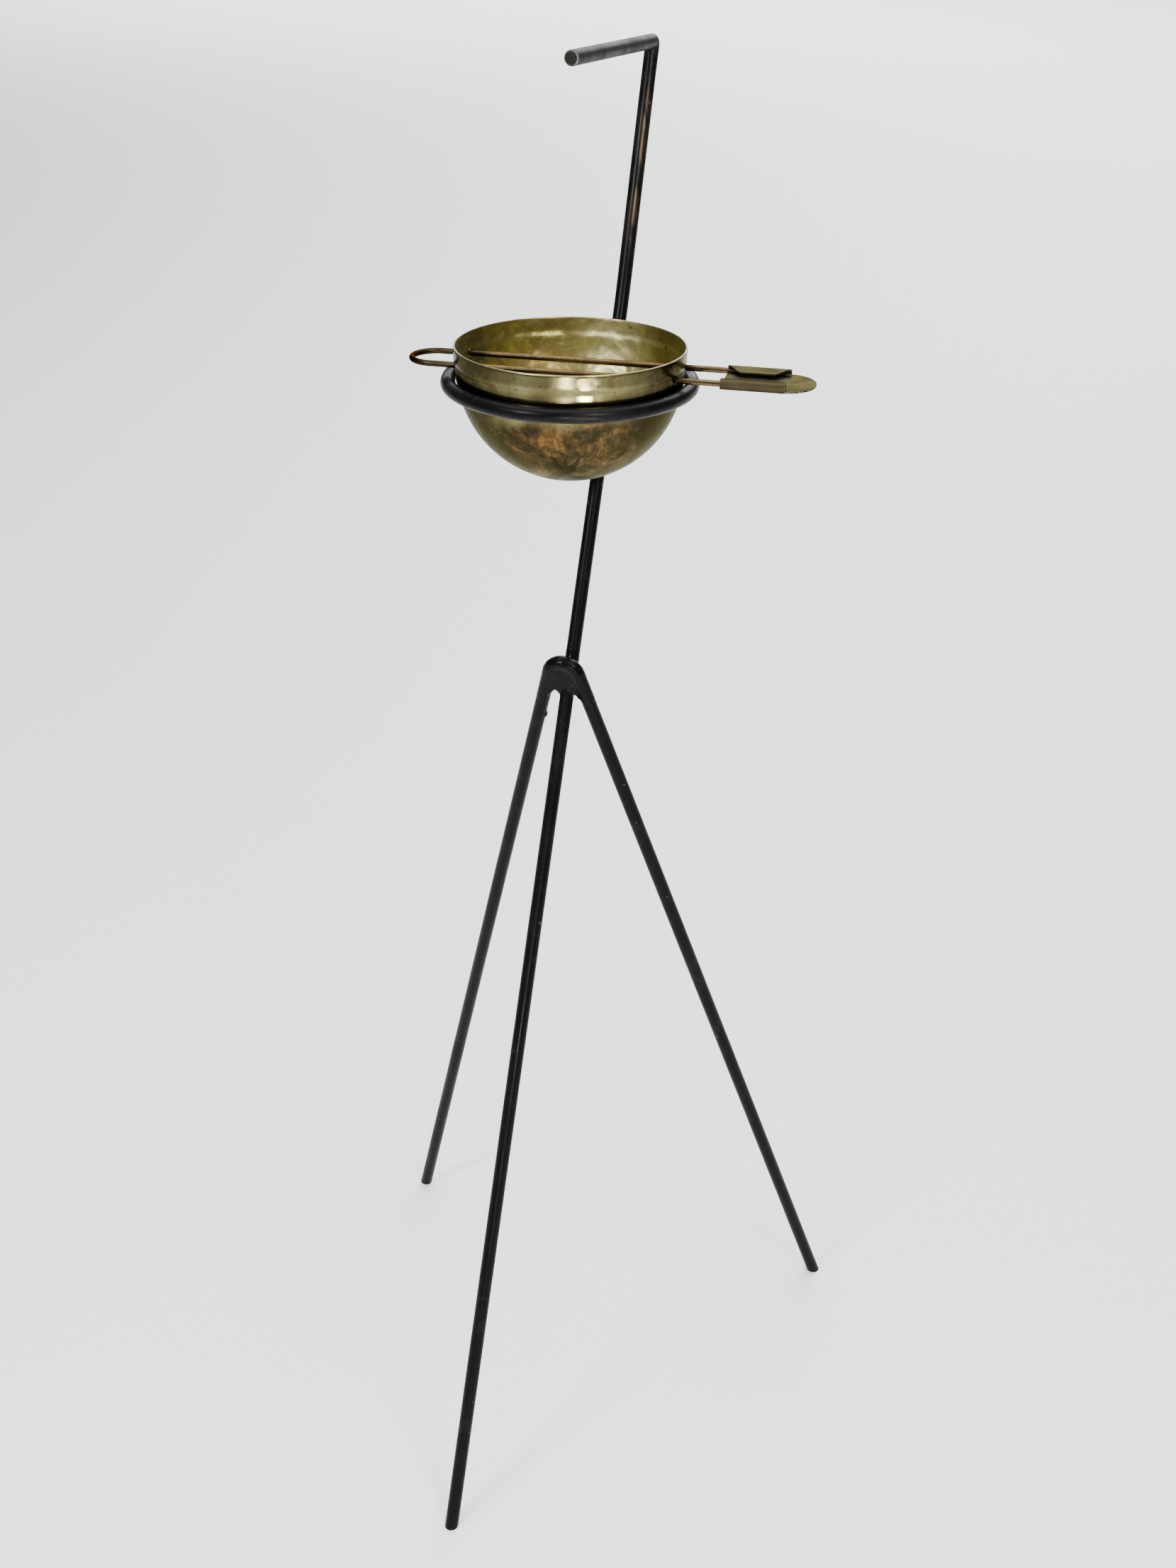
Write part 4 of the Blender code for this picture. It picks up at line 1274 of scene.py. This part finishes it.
class ASHTRAY_OT_stage(Operator):
    """Set up the floor, the soft lights and the camera"""
    bl_idname = "ashtray.stage"
    bl_label = "Stage"

    def execute(self, context):
        t = context.scene.ashtray_stage
        bm = bmesh.new()
        bmesh.ops.create_circle(bm, cap_ends=True, segments=96, radius=40.0)
        floor = make_object(bm, "floor")
        material, n, shader, at = new_material("pale floor")
        paper = n.noise(at, 180.0, 4.0)
        tint = n.mix(n.spread(paper, 0.3, 0.7, 0.0, 0.04), t.floor, (0.7, 0.7, 0.7))
        plug(n, shader, paper, 0.05, 0.0003, Base_Color=tint, Roughness=0.62)
        floor.data.materials.append(material)

        world = bpy.data.worlds.new("soft surround")
        context.scene.world = world
        world.use_nodes = True
        background = world.node_tree.nodes["Background"]
        background.inputs["Color"].default_value = (*t.sky, 1.0)
        background.inputs["Strength"].default_value = t.sky_strength

        powers = (t.ceiling_power, t.far_power, t.left_power, t.right_power, t.low_power, t.spark_power)
        for (name, place, aim, size, tint, beam), watts in zip(LAMPS, powers):
            add_area(name, place, aim, size, tint or t.sky, beam, watts)

        camera = bpy.data.objects.new("camera", bpy.data.cameras.new("camera"))
        context.scene.collection.objects.link(camera)
        camera.data.lens = t.lens
        camera.data.sensor_width = 36.0
        camera.data.clip_end = 200.0
        aim = Matrix.Rotation(CAMERA_LEFT, 4, "Z") @ Matrix.Rotation(math.pi / 2.0 - CAMERA_DOWN, 4, "X")
        roll = Matrix.Rotation(CAMERA_ROLL, 4, "Z")
        camera.matrix_world = Matrix.Translation(CAMERA_PLACE) @ aim @ roll
        context.scene.camera = camera
        return {"FINISHED"}


class ASHTRAY_PT_panel(Panel):
    """Sizes, colours and building steps of the ashtray"""
    bl_idname = "ASHTRAY_PT_panel"
    bl_label = "Standing ashtray"
    bl_space_type = "VIEW_3D"
    bl_region_type = "UI"
    bl_category = "Ashtray"

    def draw(self, context):
        layout = self.layout
        for title, settings, steps in SECTIONS:
            box = layout.box()
            box.label(text=title)
            group = getattr(context.scene, settings)
            for item in group.bl_rna.properties:
                if item.identifier not in ("rna_type", "name"):
                    box.prop(group, item.identifier)
            for step in steps:
                box.operator(step.bl_idname)


SETTINGS = {
    "ashtray_stand": StandSettings,
    "ashtray_bowl": BowlSettings,
    "ashtray_wire": WireSettings,
    "ashtray_clip": ClipSettings,
    "ashtray_stage": StageSettings,
}
SECTIONS = (
    ("Stand", "ashtray_stand", (ASHTRAY_OT_post_rod, ASHTRAY_OT_rear_legs, ASHTRAY_OT_leg_weld,
                                ASHTRAY_OT_bowl_ring, ASHTRAY_OT_ring_weld)),
    ("Bowl", "ashtray_bowl", (ASHTRAY_OT_bowl,)),
    ("Wire", "ashtray_wire", (ASHTRAY_OT_wire_loop,)),
    ("Clip", "ashtray_clip", (ASHTRAY_OT_clip_plate,)),
    ("Stage", "ashtray_stage", (ASHTRAY_OT_stage,)),
)
STEPS = [step for _, _, steps in SECTIONS for step in steps]


def register():
    for item in (*SETTINGS.values(), *STEPS, ASHTRAY_PT_panel):
        bpy.utils.register_class(item)
    for name, group in SETTINGS.items():
        setattr(bpy.types.Scene, name, PointerProperty(type=group))


def unregister():
    for name in SETTINGS:
        delattr(bpy.types.Scene, name)
    for item in (ASHTRAY_PT_panel, *reversed(STEPS), *reversed(SETTINGS.values())):
        bpy.utils.unregister_class(item)


def main():
    register()
    bpy.ops.ashtray.post_rod()
    bpy.ops.ashtray.rear_legs()
    bpy.ops.ashtray.leg_weld()
    bpy.ops.ashtray.bowl_ring()
    bpy.ops.ashtray.ring_weld()
    bpy.ops.ashtray.bowl()
    bpy.ops.ashtray.wire_loop()
    bpy.ops.ashtray.clip_plate()
    bpy.ops.ashtray.stage()


if __name__ == "__main__":
    main()
